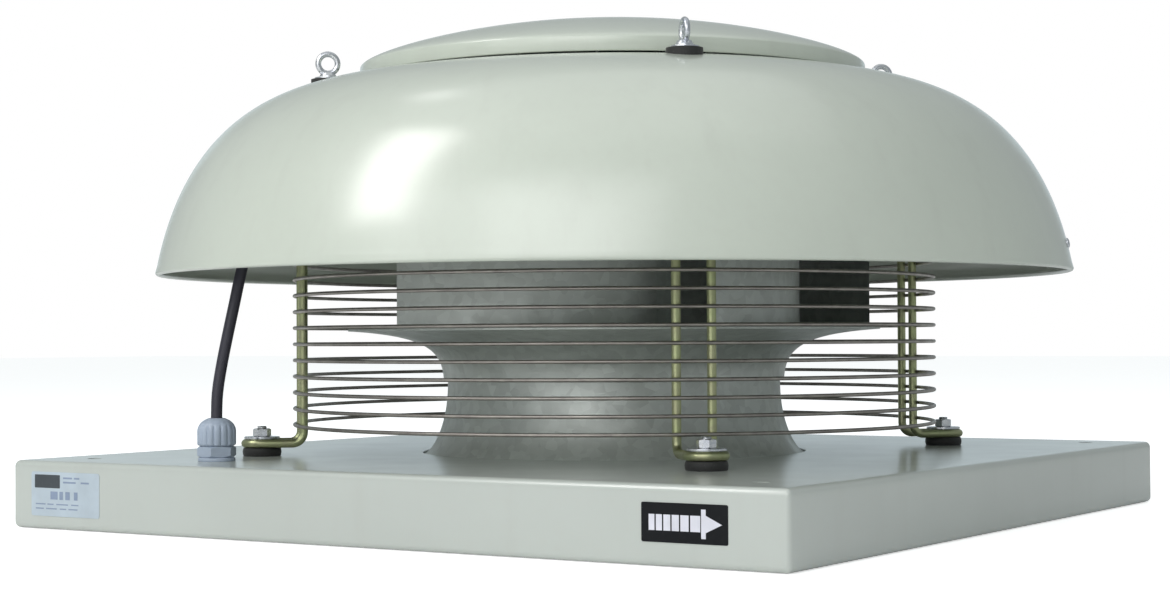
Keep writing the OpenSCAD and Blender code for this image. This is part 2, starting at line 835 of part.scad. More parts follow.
// Spacer tubes between the motor plate and the dome, cut to the dome's slope
module dome_posts() {
    color([0.7, 0.71, 0.72]) intersection() {
        at_corners(eyebolt_r) translate([0, 0, plate_top]) tube(post_r, m8_hole_r, 110);
        below_curve(dome_curve, dome_sheet);
    }
}

module at_rivet() {
    rotate(rivet_turn) translate([rivet_r, 0, rivet_z]) rotate([0, 90 - rivet_tilt, 0]) children();
}

// Spun shell with a rolled rim, and a short neck around the cooling opening
module dome_cowl() {
    color([0.78, 0.82, 0.77]) difference() {
        rotate_extrude() {
            difference() {
                polygon(concat(curve_points(dome_curve, 0), reversed(curve_points(dome_curve, dome_sheet))));
                translate([-1, 0]) square([vent_r + 1, 420]);
            }
            translate([vent_r, neck_z]) square([dome_sheet, neck_h]);
            translate([dome_r - hem_r - 0.5, dome_z + hem_r]) circle(r = hem_r);
        }
        at_corners(eyebolt_r) cylinder(r = m8_hole_r, h = 420);
        at_corners(spacer_r) cylinder(r = stud6_r + 0.2, h = 420);
        at_rivet() translate([0, 0, -10]) cylinder(r = 2.1, h = 20);
    }
}

// Blind rivet through the dome near its rim, square to the sheet
module dome_rivet() {
    color([0.85, 0.86, 0.87]) at_rivet() {
        translate([0, 0, -4]) cylinder(r = 2, h = 5);
        translate([0, 0, 0.4]) cylinder(r1 = 4.2, r2 = 2.8, h = 1.6);
        translate([0, 0, -4.8]) cylinder(r = 3.2, h = 2);
    }
}

module dome_seal_washers() {
    color([0.1, 0.1, 0.1]) difference() {
        at_corners(eyebolt_r) translate([0, 0, 350]) tube(14, m8_r + 0.1, washer_top - 350);
        below_curve(dome_curve, 0);
    }
}

module dome_washers() {
    color([0.8, 0.8, 0.8]) at_corners(eyebolt_r)
        translate([0, 0, washer_top]) tube(11, m8_hole_r, 1.6);
}

// Eye bolts: a wire loop whose plane runs through the fan's axis, a collar and a long shank that goes
// down through the dome and its post to the nut under the motor plate
module lifting_eyes() {
    loop_z = collar_z + eye_loop_r + eye_wire_r + 1.1;
    color([0.8, 0.81, 0.82]) at_corners(eyebolt_r) {
        translate([0, 0, plate_z - 10]) cylinder(r = m8_r, h = collar_z - plate_z + 11);
        translate([0, 0, collar_z]) cylinder(r1 = 7, r2 = 5.5, h = collar_h);
        translate([0, 0, loop_z]) rotate([90, 0, 0]) ring(eye_loop_r, eye_wire_r);
    }
}

module vent_lid() {
    color([0.78, 0.82, 0.77]) {
        spun_sheet(lid_curve, dome_sheet);
        translate([0, 0, lid_z]) tube(lid_r, lid_r - dome_sheet, 11.5);
    }
}

// Sleeves around the lid's studs, cut to the slopes of the dome and the lid
module lid_spacers() {
    color([0.75, 0.76, 0.78]) difference() {
        intersection() {
            at_corners(spacer_r) translate([0, 0, lid_nut_z]) tube(6, stud6_r + 0.2, 40);
            below_curve(lid_curve, dome_sheet);
        }
        below_curve(dome_curve, 0);
    }
}

// ---------------------------------------------------------------- labels

module label(x, z, w, h) {
    translate([x, -half_side - label_t, z]) cube([w, label_t, h]);
}

module arrow_label() { color([0.08, 0.08, 0.08]) label(240.5, 16, arrow_w, arrow_h); }
module rating_plate() { color([0.72, 0.8, 0.86]) label(-329, 10.5, rating_w, rating_h); }

base_plate();
inlet_nozzle();
weld_studs();
m6_nuts();
foot_pads();
foot_bolts();
foot_washers();
m8_nuts();
leg_front_left();
leg_front_right();
leg_rear_right();
leg_rear_left();
guard_rings();
motor_plate();
motor_screws();
motor_washers();
lower_end_shield();
motor_frame();
upper_end_shield();
tie_rods();
stator_core();
stator_windings();
outer_races();
wave_washer();
lower_ball_cage();
upper_ball_cage();
inner_races();
motor_shaft();
rotor_core();
rotor_end_rings();
shaft_seal();
shaft_key();
impeller_hub();
hub_rivets();
impeller_back_plate();
impeller_blades();
impeller_shroud();
hub_end_bolt();
terminal_box();
terminal_box_lid();
terminal_block();
lid_screws();
box_gland();
box_gland_nut();
cable_gland();
cable_gland_nut();
cable_gland_locknut();
motor_cable();
cable_cores();
dome_posts();
dome_cowl();
dome_rivet();
dome_seal_washers();
dome_washers();
lifting_eyes();
vent_lid();
lid_spacers();
arrow_label();
rating_plate();
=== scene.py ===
"""Looks of the roof exhaust fan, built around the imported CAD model.

Shapes are written in millimetres, in the frame of the CAD, and turned into metres when a mesh is made.
"""
import json
import math

import bmesh
import bpy
from mathutils import Matrix, Vector


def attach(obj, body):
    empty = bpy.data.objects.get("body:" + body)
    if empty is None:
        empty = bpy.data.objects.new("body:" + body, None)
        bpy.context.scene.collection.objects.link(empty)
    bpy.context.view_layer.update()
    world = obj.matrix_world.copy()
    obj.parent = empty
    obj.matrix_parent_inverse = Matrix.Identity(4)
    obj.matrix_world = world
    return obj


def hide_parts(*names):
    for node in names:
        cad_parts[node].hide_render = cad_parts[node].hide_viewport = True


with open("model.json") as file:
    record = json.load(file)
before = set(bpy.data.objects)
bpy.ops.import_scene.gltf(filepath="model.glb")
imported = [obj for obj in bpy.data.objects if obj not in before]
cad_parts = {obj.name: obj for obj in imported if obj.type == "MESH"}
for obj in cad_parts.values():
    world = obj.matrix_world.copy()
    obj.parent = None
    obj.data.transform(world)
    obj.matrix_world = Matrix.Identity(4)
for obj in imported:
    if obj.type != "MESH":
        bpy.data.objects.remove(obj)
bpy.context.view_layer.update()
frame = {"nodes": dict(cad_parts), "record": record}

MM = 0.001
TAU = 2 * math.pi
UP = Vector((0, 0, 1))

# Sizes that the CAD gives, in millimetres and radians
HALF_SIDE = 350
SKIRT_H = 54
SHEET = 2
THIN_SHEET = 1.5
PLATE_UNDER = SKIRT_H - SHEET
CORNERS = [math.radians(a) for a in (-135, -45, 45, 135)]
FOOT_R = 297
PAD_H = 7
PAD_TOP = SKIRT_H + PAD_H
ROD_R = 3.5
ROD_Z = PAD_TOP + ROD_R
ROD_TOP = ROD_Z + ROD_R
BEND_R = 9
LEG_R = 264
HALF_GAP = 13.5
PLATE_Z = 262
PLATE_TOP = PLATE_Z + 3
EYEBOLT_R = 242
SPACER_R = 186
NOZZLE_STUD_R = 180
WHEEL_R = 225
BACK_Z = 246
BACK_TOP = BACK_Z + SHEET
RIVET_R = 44
BLADES = 5
BLADE_TIP_R = 219
BLADE_ROOT_R = 149
BLADE_ANGLE = math.radians(19)
BLADE_START = math.radians(-109)
GLAND_TURN = math.radians(-124)
GLAND_R = 343
GLAND_ACROSS = 27
CABLE_R = 4.5
DOME_CURVE = [(383, 202), (360, 331.5), (281, 364.5), (200, 364.5)]
LID_CURVE = [(214, 377.5), (213.5, 384.5), (118, 416), (0, 416)]
SHROUD_CURVE = [(144.5, 115), (146, 140), (160, 152), (225, 156)]

# Threads: radius and pitch. Nuts: size across flats, height, bore
M8 = (4, 1.25)
M6 = (3, 1.0)
M8_NUT = (13, 6.5, 3.9)
M6_NUT = (10, 5, 2.9)

# The motor cable's route: distance from the axis, sideways, height
CABLE_ROUTE = [
    (343, 0, 24), (343, 0, 58), (343, 0, 92), (342, 0, 110), (339, 1, 130), (335, 3, 152),
    (330, 4, 176), (325, 5, 200), (319, 5, 224), (312, 5, 248), (302, 4, 270), (288, 3, 288),
    (270, 2, 301), (250, 1, 309), (230, 0, 312), (205, 0, 313), (180, 0, 312), (150, 0, 312),
    (114, 0, 312),
]


# ---------------------------------------------------------------- camera, light, floor

def turned(first, second, degrees):
    """The two axes, turned together in their plane: first towards second."""
    angle = math.radians(degrees)
    return (
        first * math.cos(angle) + second * math.sin(angle),
        second * math.cos(angle) - first * math.sin(angle),
    )


def make_camera():
    """Three quarter view from the front right, just above the rim of the base."""
    azimuth = math.radians(32.12)
    distance = 1.8536
    height = 0.149
    pan = -0.748
    tilt = 1.016
    roll = -0.296
    ahead = Vector((-math.sin(azimuth), math.cos(azimuth), 0))
    right = Vector((math.cos(azimuth), math.sin(azimuth), 0))
    place = -ahead * distance + UP * height
    ahead, right = turned(ahead, right, pan)
    ahead, up = turned(ahead, UP, tilt)
    right, up = turned(right, up, roll)
    data = bpy.data.cameras.new("camera")
    data.lens = 66.94
    data.sensor_width = 36
    data.sensor_fit = "HORIZONTAL"
    data.clip_start = 0.01
    camera = bpy.data.objects.new("camera", data)
    bpy.context.scene.collection.objects.link(camera)
    turn = Matrix((right, up, -ahead)).transposed().to_4x4()
    camera.matrix_world = Matrix.Translation(place) @ turn
    bpy.context.scene.camera = camera


def softbox(name, azimuth, elevation, distance, width, height, power, color=(1, 1, 1), spin=0.0):
    """A rectangular lamp that looks at the middle of the fan. Angles are its direction from there."""
    middle = Vector((0, 0, 0.2))
    a = math.radians(azimuth)
    e = math.radians(elevation)
    out = Vector((math.cos(a) * math.cos(e), math.sin(a) * math.cos(e), math.sin(e)))
    data = bpy.data.lights.new(name, "AREA")
    data.shape = "RECTANGLE"
    data.size = width
    data.size_y = height
    data.energy = power
    data.color = color
    lamp = bpy.data.objects.new(name, data)
    bpy.context.scene.collection.objects.link(lamp)
    turn = out.to_track_quat("Z", "Y").to_matrix().to_4x4()
    roll = Matrix.Rotation(math.radians(spin), 4, "Z")
    lamp.matrix_world = Matrix.Translation(middle + out * distance) @ turn @ roll


def make_world(seen, lighting):
    """White studio: one colour behind the object, a dimmer and cooler one that lights it."""
    world = bpy.data.worlds.new("studio")
    bpy.context.scene.world = world
    world.use_nodes = True
    nodes = world.node_tree.nodes
    links = world.node_tree.links
    nodes.clear()
    output = nodes.new("ShaderNodeOutputWorld")
    mix = nodes.new("ShaderNodeMixShader")
    path = nodes.new("ShaderNodeLightPath")
    shades = []
    for color in (lighting, seen):
        shade = nodes.new("ShaderNodeBackground")
        shade.inputs["Color"].default_value = (*color, 1)
        shades.append(shade)
    links.new(path.outputs["Is Camera Ray"], mix.inputs["Fac"])
    links.new(shades[0].outputs["Background"], mix.inputs[1])
    links.new(shades[1].outputs["Background"], mix.inputs[2])
    links.new(mix.outputs["Shader"], output.inputs["Surface"])


def make_floor():
    """One sheet that only the camera sees, glowing so that it stays pale, and one that bounces light."""
    half = 14
    for name, low, glow in (("floor", -0.0005, 0.62), ("bounce", -0.001, 0.0)):
        corners = [(-half, -half, low), (half, -half, low), (half, half, low), (-half, half, low)]
        mesh = bpy.data.meshes.new(name)
        mesh.from_pydata(corners, [], [(0, 1, 2, 3)])
        sheet = bpy.data.objects.new(name, mesh)
        bpy.context.scene.collection.objects.link(sheet)
        material = bpy.data.materials.new(name)
        material.use_nodes = True
        shader = material.node_tree.nodes["Principled BSDF"]
        shader.inputs["Base Color"].default_value = (0.93, 0.93, 0.93, 1)
        shader.inputs["Roughness"].default_value = 0.9
        shader.inputs["Specular IOR Level"].default_value = 0.1
        shader.inputs["Emission Color"].default_value = (1, 1, 1, 1)
        shader.inputs["Emission Strength"].default_value = glow
        mesh.materials.append(material)
        seen = name == "floor"
        sheet.visible_camera = seen
        sheet.visible_diffuse = not seen
        sheet.visible_glossy = not seen
        sheet.visible_shadow = not seen


# ---------------------------------------------------------------- materials

class Nodes:
    """A material's node tree, with short calls for what every finish here needs."""

    def __init__(self, name):
        self.material = bpy.data.materials.new(name)
        self.material.use_nodes = True
        self.tree = self.material.node_tree
        self.shader = self.tree.nodes["Principled BSDF"]
        self.place = self.tree.nodes.new("ShaderNodeTexCoord").outputs["Object"]

    def link(self, source, target):
        """Joins an output to an input."""
        self.tree.links.new(source, target)

    def stretched(self, scale):
        """Object coordinates, drawn out where scale is small."""
        node = self.tree.nodes.new("ShaderNodeMapping")
        node.inputs["Scale"].default_value = scale
        self.link(self.place, node.inputs["Vector"])
        return node.outputs["Vector"]

    def noise(self, size_mm, detail=3.0, rough=0.5, stretch=None, warp=0.0):
        """Noise whose features are about size_mm across."""
        node = self.tree.nodes.new("ShaderNodeTexNoise")
        node.inputs["Scale"].default_value = 1000.0 / size_mm
        node.inputs["Detail"].default_value = detail
        node.inputs["Roughness"].default_value = rough
        node.inputs["Distortion"].default_value = warp
        self.link(self.stretched(stretch) if stretch else self.place, node.inputs["Vector"])
        return node.outputs["Fac"]

    def cells(self, size_mm):
        """Random value per cell, as in zinc's crystals."""
        node = self.tree.nodes.new("ShaderNodeTexVoronoi")
        node.inputs["Scale"].default_value = 1000.0 / size_mm
        self.link(self.place, node.inputs["Vector"])
        return node.outputs["Color"]

    def ramp(self, value, *stops):
        """Colours along value. A stop is a position and a colour."""
        node = self.tree.nodes.new("ShaderNodeValToRGB")
        band = node.color_ramp
        while len(band.elements) < len(stops):
            band.elements.new(0.5)
        for element, (position, color) in zip(band.elements, stops):
            element.position = position
            element.color = (*color, 1)
        self.link(value, node.inputs["Fac"])
        return node.outputs["Color"]

    def span(self, value, low, high, start=0.3, end=0.7):
        """The stretch of value from start to end, turned into low to high."""
        node = self.tree.nodes.new("ShaderNodeMapRange")
        node.inputs["From Min"].default_value = start
        node.inputs["From Max"].default_value = end
        node.inputs["To Min"].default_value = low
        node.inputs["To Max"].default_value = high
        self.link(value, node.inputs["Value"])
        return node.outputs["Result"]

    def mix(self, factor, under, over):
        """A plain colour laid over a colour socket, as strongly as factor says."""
        node = self.tree.nodes.new("ShaderNodeMix")
        node.data_type = "RGBA"
        self.link(factor, node.inputs[0])
        self.link(under, node.inputs[6])
        node.inputs[7].default_value = (*over, 1)
        return node.outputs[2]

    def bump(self, height, depth_mm, strength, under=None):
        """A normal from a height, on top of another normal where one is given."""
        node = self.tree.nodes.new("ShaderNodeBump")
        node.inputs["Strength"].default_value = strength
        node.inputs["Distance"].default_value = depth_mm * MM
        self.link(height, node.inputs["Height"])
        if under:
            self.link(under, node.inputs["Normal"])
        return node.outputs["Normal"]

    def set(self, **values):
        """Constants on the shader's own sockets, such as coat_weight=1."""
        for key, value in values.items():
            words = key.replace("_", " ").title().replace("Ior", "IOR")
            self.shader.inputs[words].default_value = value

    def color(self, socket):
        """Drives the shader's colour."""
        self.link(socket, self.shader.inputs["Base Color"])

    def roughness(self, socket):
        """Drives the shader's roughness."""
        self.link(socket, self.shader.inputs["Roughness"])

    def normal(self, socket):
        """Drives the shader's normal."""
        self.link(socket, self.shader.inputs["Normal"])


def scaled(color, factor):
    """A colour made darker or lighter."""
    return tuple(min(1.0, c * factor) for c in color)


def gloss_paint(name, color, peel_mm, dust, coat):
    """Stoved gloss paint under a clear coat: faint mottling, dust, runs of dirt, orange peel."""
    n = Nodes(name)
    broad = n.noise(140, detail=2)
    fine = n.noise(9, detail=5, rough=0.6)
    tone = n.ramp(broad, (0.3, scaled(color, 0.965)), (0.7, scaled(color, 1.02)))
    tone = n.mix(n.span(fine, 0.0, 0.10, 0.45, 0.75), tone, dust)
    streaks = n.noise(26, detail=4, stretch=(1, 1, 0.12))
    tone = n.mix(n.span(streaks, 0.0, 0.14, 0.56, 0.8), tone, scaled(dust, 0.8))
    n.color(tone)
    n.roughness(n.span(n.noise(45, detail=4), 0.30, 0.40))
    peel = n.bump(n.noise(peel_mm, detail=1), 0.012, 0.8)
    n.normal(n.bump(n.noise(160, detail=1), 0.5, 0.35, peel))
    n.set(coat_weight=coat, coat_roughness=0.2, coat_ior=1.6, specular_ior_level=0.45)
    return n.material


def zinc_sheet(name, color, metal, cell_mm):
    """Galvanised sheet: crystals of slightly different tone, faint rolling lines, white bloom."""
    n = Nodes(name)
    crystals = n.span(n.cells(cell_mm), 0.0, 1.0, 0.0, 1.0)
    tone = n.ramp(crystals, (0.0, scaled(color, 0.86)), (1.0, scaled(color, 1.08)))
    bloom = n.noise(38, detail=6, rough=0.62)
    tone = n.mix(n.span(bloom, 0.0, 0.35, 0.5, 0.72), tone, (0.62, 0.64, 0.62))
    n.color(tone)
    n.roughness(n.span(n.noise(24, detail=5), 0.30, 0.50))
    rolled = n.noise(5, detail=2, stretch=(1, 1, 0.06))
    n.normal(n.bump(rolled, 0.02, 0.5, n.bump(n.noise(90, detail=1), 0.4, 0.3)))
    n.set(metallic=metal, specular_ior_level=0.5)
    return n.material


def plated(name, color, second, patch_mm, rough):
    """Plated or bare metal: two tones in patches, fine scratches, grime."""
    grime = (0.12, 0.10, 0.08)
    n = Nodes(name)
    patches = n.noise(patch_mm, detail=5, rough=0.6, warp=0.6)
    tone = n.ramp(patches, (0.36, color), (0.64, second))
    dirt = n.noise(patch_mm * 1.7, detail=6, rough=0.65)
    n.color(n.mix(n.span(dirt, 0.0, 0.45, 0.58, 0.8), tone, grime))
    n.roughness(n.span(n.noise(patch_mm * 0.6, detail=4), rough - 0.07, rough + 0.10))
    scratches = n.noise(1.4, detail=3, stretch=(1, 1, 0.15))
    n.normal(n.bump(scratches, 0.015, 0.6))
    n.set(metallic=1.0)
    return n.material


def moulded(name, color, rough, grain_mm, sheen=0.0, speck=0.06):
    """Moulded plastic or rubber: slight colour drift, fine grain, dusty specks."""
    n = Nodes(name)
    drift = n.noise(22, detail=4)
    tone = n.ramp(drift, (0.3, scaled(color, 0.88)), (0.7, scaled(color, 1.08)))
    specks = n.noise(3, detail=5, rough=0.7)
    n.color(n.mix(n.span(specks, 0.0, speck, 0.58, 0.78), tone, (0.6, 0.6, 0.58)))
    n.roughness(n.span(n.noise(12, detail=4), rough - 0.06, rough + 0.08))
    n.normal(n.bump(n.noise(grain_mm, detail=2), 0.03, 0.6))
    n.set(sheen_weight=sheen)
    return n.material


def cast_paint(name, color):
    """Painted casting: sand texture under the paint, chips that show grey metal."""
    n = Nodes(name)
    tone = n.ramp(n.noise(30, detail=4), (0.3, scaled(color, 0.9)), (0.7, scaled(color, 1.06)))
    chips = n.noise(7, detail=6, rough=0.7)
    n.color(n.mix(n.span(chips, 0.0, 0.7, 0.68, 0.74), tone, (0.5, 0.5, 0.5)))
    n.roughness(n.span(n.noise(18, detail=4), 0.38, 0.55))
    n.normal(n.bump(n.noise(1.8, detail=3), 0.08, 0.7))
    n.set(specular_ior_level=0.4)
    return n.material


def wound_copper(name, color):
    """Varnished winding: wires around the ring, with darker varnish between them."""
    n = Nodes(name)
    wires = n.noise(1.2, detail=2, stretch=(0.1, 0.1, 1))
    tone = n.ramp(wires, (0.35, scaled(color, 0.35)), (0.6, color))
    varnish = n.noise(14, detail=4)
    n.color(n.mix(n.span(varnish, 0.0, 0.5, 0.5, 0.75), tone, (0.20, 0.07, 0.02)))
    n.roughness(n.span(varnish, 0.28, 0.45))
    n.normal(n.bump(wires, 0.3, 0.8))
    n.set(metallic=0.6, coat_weight=0.4)
    return n.material


def stacked_steel(name, color):
    """Stacked sheets: fine lines, one above the other, with oxide in patches."""
    n = Nodes(name)
    layers = n.noise(0.9, detail=2, stretch=(0.02, 0.02, 1))
    tone = n.ramp(layers, (0.35, scaled(color, 0.55)), (0.65, scaled(color, 1.25)))
    n.color(n.mix(n.span(n.noise(16, detail=5), 0.0, 0.35, 0.5, 0.75), tone, (0.16, 0.09, 0.06)))
    n.roughness(n.span(n.noise(9, detail=3), 0.42, 0.6))
    n.normal(n.bump(layers, 0.08, 0.8))
    n.set(metallic=0.8)
    return n.material


def sticker(name, color, weave_mm, grime=(0.55, 0.54, 0.5)):
    """Printed film: slight tone drift, grime in specks, satin laminate."""
    n = Nodes(name)
    tone = n.ramp(n.noise(18, detail=3), (0.3, scaled(color, 0.92)), (0.7, scaled(color, 1.05)))
    n.color(n.mix(n.span(n.noise(5, detail=5), 0.0, 0.15, 0.55, 0.8), tone, grime))
    n.roughness(n.span(n.noise(11, detail=3), 0.36, 0.50))
    n.normal(n.bump(n.noise(weave_mm, detail=1), 0.01, 0.5))
    n.set(specular_ior_level=0.2)
    return n.material


BASE_COLOR = (0.525, 0.56, 0.525)
DOME_COLOR = (0.60, 0.645, 0.565)
MATERIALS = {
    "base_paint": gloss_paint("base_paint", BASE_COLOR, 1.8, (0.52, 0.51, 0.46), 0.9),
    "dome_paint": gloss_paint("dome_paint", DOME_COLOR, 2.2, (0.52, 0.52, 0.47), 1.0),
    "galvanised": zinc_sheet("galvanised", (0.60, 0.63, 0.60), 0.6, 7),
    "zinc": plated("zinc", (0.74, 0.75, 0.76), (0.60, 0.62, 0.68), 9, 0.27),
    "yellow_zinc": plated("yellow_zinc", (0.44, 0.48, 0.26), (0.40, 0.40, 0.25), 13, 0.36),
    "guard_wire": plated("guard_wire", (0.33, 0.30, 0.28), (0.43, 0.40, 0.37), 17, 0.40),
    "black_rubber": moulded("black_rubber", (0.018, 0.018, 0.018), 0.62, 1.2, sheen=0.1),
    "motor_paint": cast_paint("motor_paint", (0.15, 0.17, 0.19)),
    "lamination": stacked_steel("lamination", (0.24, 0.24, 0.26)),
    "copper": wound_copper("copper", (0.72, 0.30, 0.12)),
    "bearing_steel": plated("bearing_steel", (0.60, 0.61, 0.63), (0.54, 0.56, 0.60), 20, 0.16),
    "brass_cage": plated("brass_cage", (0.68, 0.50, 0.22), (0.56, 0.40, 0.18), 11, 0.30),
    "cast_aluminium": plated("cast_aluminium", (0.58, 0.59, 0.60), (0.50, 0.51, 0.53), 15, 0.42),
    "terminal_plastic": moulded("terminal_plastic", (0.022, 0.024, 0.027), 0.42, 0.9),
    "gland_plastic": moulded("gland_plastic", (0.42, 0.49, 0.60), 0.40, 0.9, speck=0.1),
    "cable_sheath": moulded("cable_sheath", (0.035, 0.033, 0.048), 0.36, 1.1, speck=0.04),
    "label_black": sticker("label_black", (0.006, 0.007, 0.009), 1.5, (0.05, 0.05, 0.05)),
    "label_blue": sticker("label_blue", (0.50, 0.575, 0.64), 1.5),
}
PRINT_WHITE = sticker("print_white", (0.78, 0.78, 0.86), 1.5)
PRINT_DARK = sticker("print_dark", (0.07, 0.08, 0.09), 1.5, (0.2, 0.2, 0.2))
PRINT_BLUE = sticker("print_blue", (0.27, 0.33, 0.45), 1.5)


# ---------------------------------------------------------------- mesh tools

class Shape:
    """Vertices and faces of one piece, in millimetres. mark is a face's material number."""

    def __init__(self):
        self.verts = []
        self.faces = []
        self.marks = []

    def add(self, part, matrix=None, mark=0):
        """Adds vertices and faces, put in place by a matrix."""
        verts, faces = part
        start = len(self.verts)
        for v in verts:
            v = Vector(v)
            self.verts.append(matrix @ v if matrix else v)
        for face in faces:
            self.faces.append([start + i for i in face])
            self.marks.append(mark)

    def piece(self, name, slot, body, *nodes, sharp=32, extra=()):
        """The finished object: riding on a body, in place of CAD nodes."""
        mesh = bpy.data.meshes.new(name)
        mesh.from_pydata([v * MM for v in self.verts], [], self.faces)
        mesh.materials.append(MATERIALS[slot])
        for material in extra:
            mesh.materials.append(material)
        mesh.polygons.foreach_set("material_index", self.marks)
        tidy = bmesh.new()
        tidy.from_mesh(mesh)
        bmesh.ops.recalc_face_normals(tidy, faces=tidy.faces)
        tidy.to_mesh(mesh)
        tidy.free()
        mesh.polygons.foreach_set("use_smooth", [True] * len(mesh.polygons))
        mesh.set_sharp_from_angle(angle=math.radians(sharp))
        obj = bpy.data.objects.new(name, mesh)
        bpy.context.scene.collection.objects.link(obj)
        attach(obj, body)
        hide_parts(*nodes)
        return obj


def at(x=0.0, y=0.0, z=0.0, turn=0.0):
    """Turned about Z, after a move in the turned frame."""
    return Matrix.Rotation(turn, 4, "Z") @ Matrix.Translation((x, y, z))


def lathe(profile, segments, closed=False):
    """A profile of (radius, height) spun about Z. A point on the axis closes the surface."""
    verts = []
    rows = []
    for r, z in profile:
        if r < 1e-6:
            rows.append([len(verts)] * segments)
            verts.append((0, 0, z))
            continue
        rows.append(range(len(verts), len(verts) + segments))
        for k in range(segments):
            a = TAU * k / segments
            verts.append((r * math.cos(a), r * math.sin(a), z))
    faces = []
    count = len(rows)
    for i in range(count if closed else count - 1):
        low = rows[i]
        high = rows[(i + 1) % count]
        for k in range(segments):
            k2 = (k + 1) % segments
            face = list(dict.fromkeys((low[k], low[k2], high[k2], high[k])))
            if len(face) > 2:
                faces.append(face)
    return verts, faces


def grid(rows, wrap_rows=False, caps=False):
    """Faces between rows of equally many points. Each row is a closed loop."""
    verts = [v for row in rows for v in row]
    width = len(rows[0])
    faces = []
    for i in range(len(rows) if wrap_rows else len(rows) - 1):
        low = i * width
        high = (i + 1) % len(rows) * width
        for k in range(width):
            k2 = (k + 1) % width
            faces.append((low + k, low + k2, high + k2, high + k))
    if caps:
        faces.append(tuple(range(width)))
        faces.append(tuple(range((len(rows) - 1) * width, len(rows) * width)))
    return verts, faces


def soft(profile, radius, closed=False, steps=3):
    """A profile with its corners rounded. Corners on the axis stay."""
    out = []
    count = len(profile)
    for i, corner in enumerate(profile):
        p = Vector(corner)
        if p.x < 1e-6 or (not closed and i in (0, count - 1)):
            out.append(tuple(p))
            continue
        before = Vector(profile[i - 1]) - p
        after = Vector(profile[(i + 1) % count]) - p
        cut = min(radius, before.length * 0.45, after.length * 0.45)
        a = p + before.normalized() * cut
        b = p + after.normalized() * cut
        for k in range(steps + 1):
            t = k / steps
            q = a * (1 - t) ** 2 + p * 2 * t * (1 - t) + b * t * t
            out.append(tuple(q))
    return out


def sweep(path, radius, sides, shrink_ends=0.0):
    """A round rod along points. shrink_ends chamfers both ends by that much."""
    path = [Vector(p) for p in path]
    count = len(path)
    rows = []
    side = None
    for i, p in enumerate(path):
        along = path[min(i + 1, count - 1)] - path[max(i - 1, 0)]
        along.normalize()
        if side is None:
            side = along.orthogonal().normalized()
        side = (side - along * side.dot(along)).normalized()
        other = along.cross(side)
        rows.append([
            p + (side * math.cos(TAU * k / sides) + other * math.sin(TAU * k / sides)) * radius
            for k in range(sides)
        ])
    if shrink_ends:
        keep = 1 - shrink_ends / radius
        for end, inward in ((0, path[1] - path[0]), (-1, path[-2] - path[-1])):
            inward.normalize()
            middle = path[end]
            tip = [middle + (v - middle) * keep for v in rows[end]]
            rows[end] = [v + inward * shrink_ends for v in rows[end]]
            rows.insert(0 if end == 0 else len(rows), tip)
    return grid(rows, caps=True)


def hexagonal(across, height, bore=0.0):
    """A nut or bolt head standing on z = 0, chamfered by a cone on both faces."""
    segments = 60
    ease = 0.35
    flat = across / 2
    face_r = flat * 0.95
    slope = math.tan(math.radians(30))
    rows = []

    def row(radius, z):
        """A circle."""
        rows.append([
            (radius * math.cos(TAU * k / segments), radius * math.sin(TAU * k / segments), z)
            for k in range(segments)
        ])

    def hex_row(bottom):
        """A hexagon whose corners the cone cuts back from the face."""
        points = []
        for k in range(segments):
            a = TAU * k / segments
            r = flat / math.cos((a % (TAU / 6)) - TAU / 12)
            drop = (r - face_r) * slope
            points.append((r * math.cos(a), r * math.sin(a), drop if bottom else height - drop))
        rows.append(points)

    if bore:
        row(bore, ease)
        row(bore + ease, 0)
    row(face_r, 0)
    hex_row(True)
    hex_row(False)
    row(face_r, height)
    if bore:
        row(bore + ease, height)
        row(bore, height - ease)
    return grid(rows, wrap_rows=bool(bore), caps=not bore)


def threaded(thread, low, high):
    """A stud with a helical thread, such as M8, and chamfered ends."""
    radius, pitch = thread
    sides = 32
    per_turn = 6
    depth = pitch * 0.5
    count = int((high - low) / pitch * per_turn)
    rows = []
    for i in range(count + 1):
        z = low + (high - low) * i / count
        edge = min(z - low, high - z)
        points = []
        for k in range(sides):
            phase = ((z - low) / pitch - k / sides) % 1
            r = radius - depth * abs(2 * phase - 1)
            r = min(r, radius - depth + edge)
            points.append((r * math.cos(TAU * k / sides), r * math.sin(TAU * k / sides), z))
        rows.append(points)
    return grid(rows, caps=True)


def bezier(c, t):
    """The point at time t, from 0 to 1, on a curve with four control points."""
    s = 1 - t
    c = [Vector(p) for p in c]
    return c[0] * s ** 3 + c[1] * 3 * s * s * t + c[2] * 3 * s * t * t + c[3] * t ** 3


def sheet_curve(c, inset, count, start=0.0):
    """Points along a curve from time start to its end, moved to its left by inset."""
    step = 1e-4
    points = []
    for i in range(count + 1):
        t = start + (1 - start) * i / count
        ahead = bezier(c, min(1, t + step)) - bezier(c, max(0, t - step))
        ahead.normalize()
        p = bezier(c, t)
        points.append((max(0.0, p.x - inset * ahead.y), p.y + inset * ahead.x))
    return points


def curve_time(c, radius):
    """When a curve that runs towards the axis crosses a radius."""
    low, high = 0.0, 1.0
    for _ in range(40):
        middle = (low + high) / 2
        if bezier(c, middle).x > radius:
            low = middle
        else:
            high = middle
    return low


def arc(cx, cy, r, start, end, steps):
    """Points on a circle, angles in degrees."""
    out = []
    for i in range(steps + 1):
        a = math.radians(start + (end - start) * i / steps)
        out.append((cx + r * math.cos(a), cy + r * math.sin(a)))
    return out


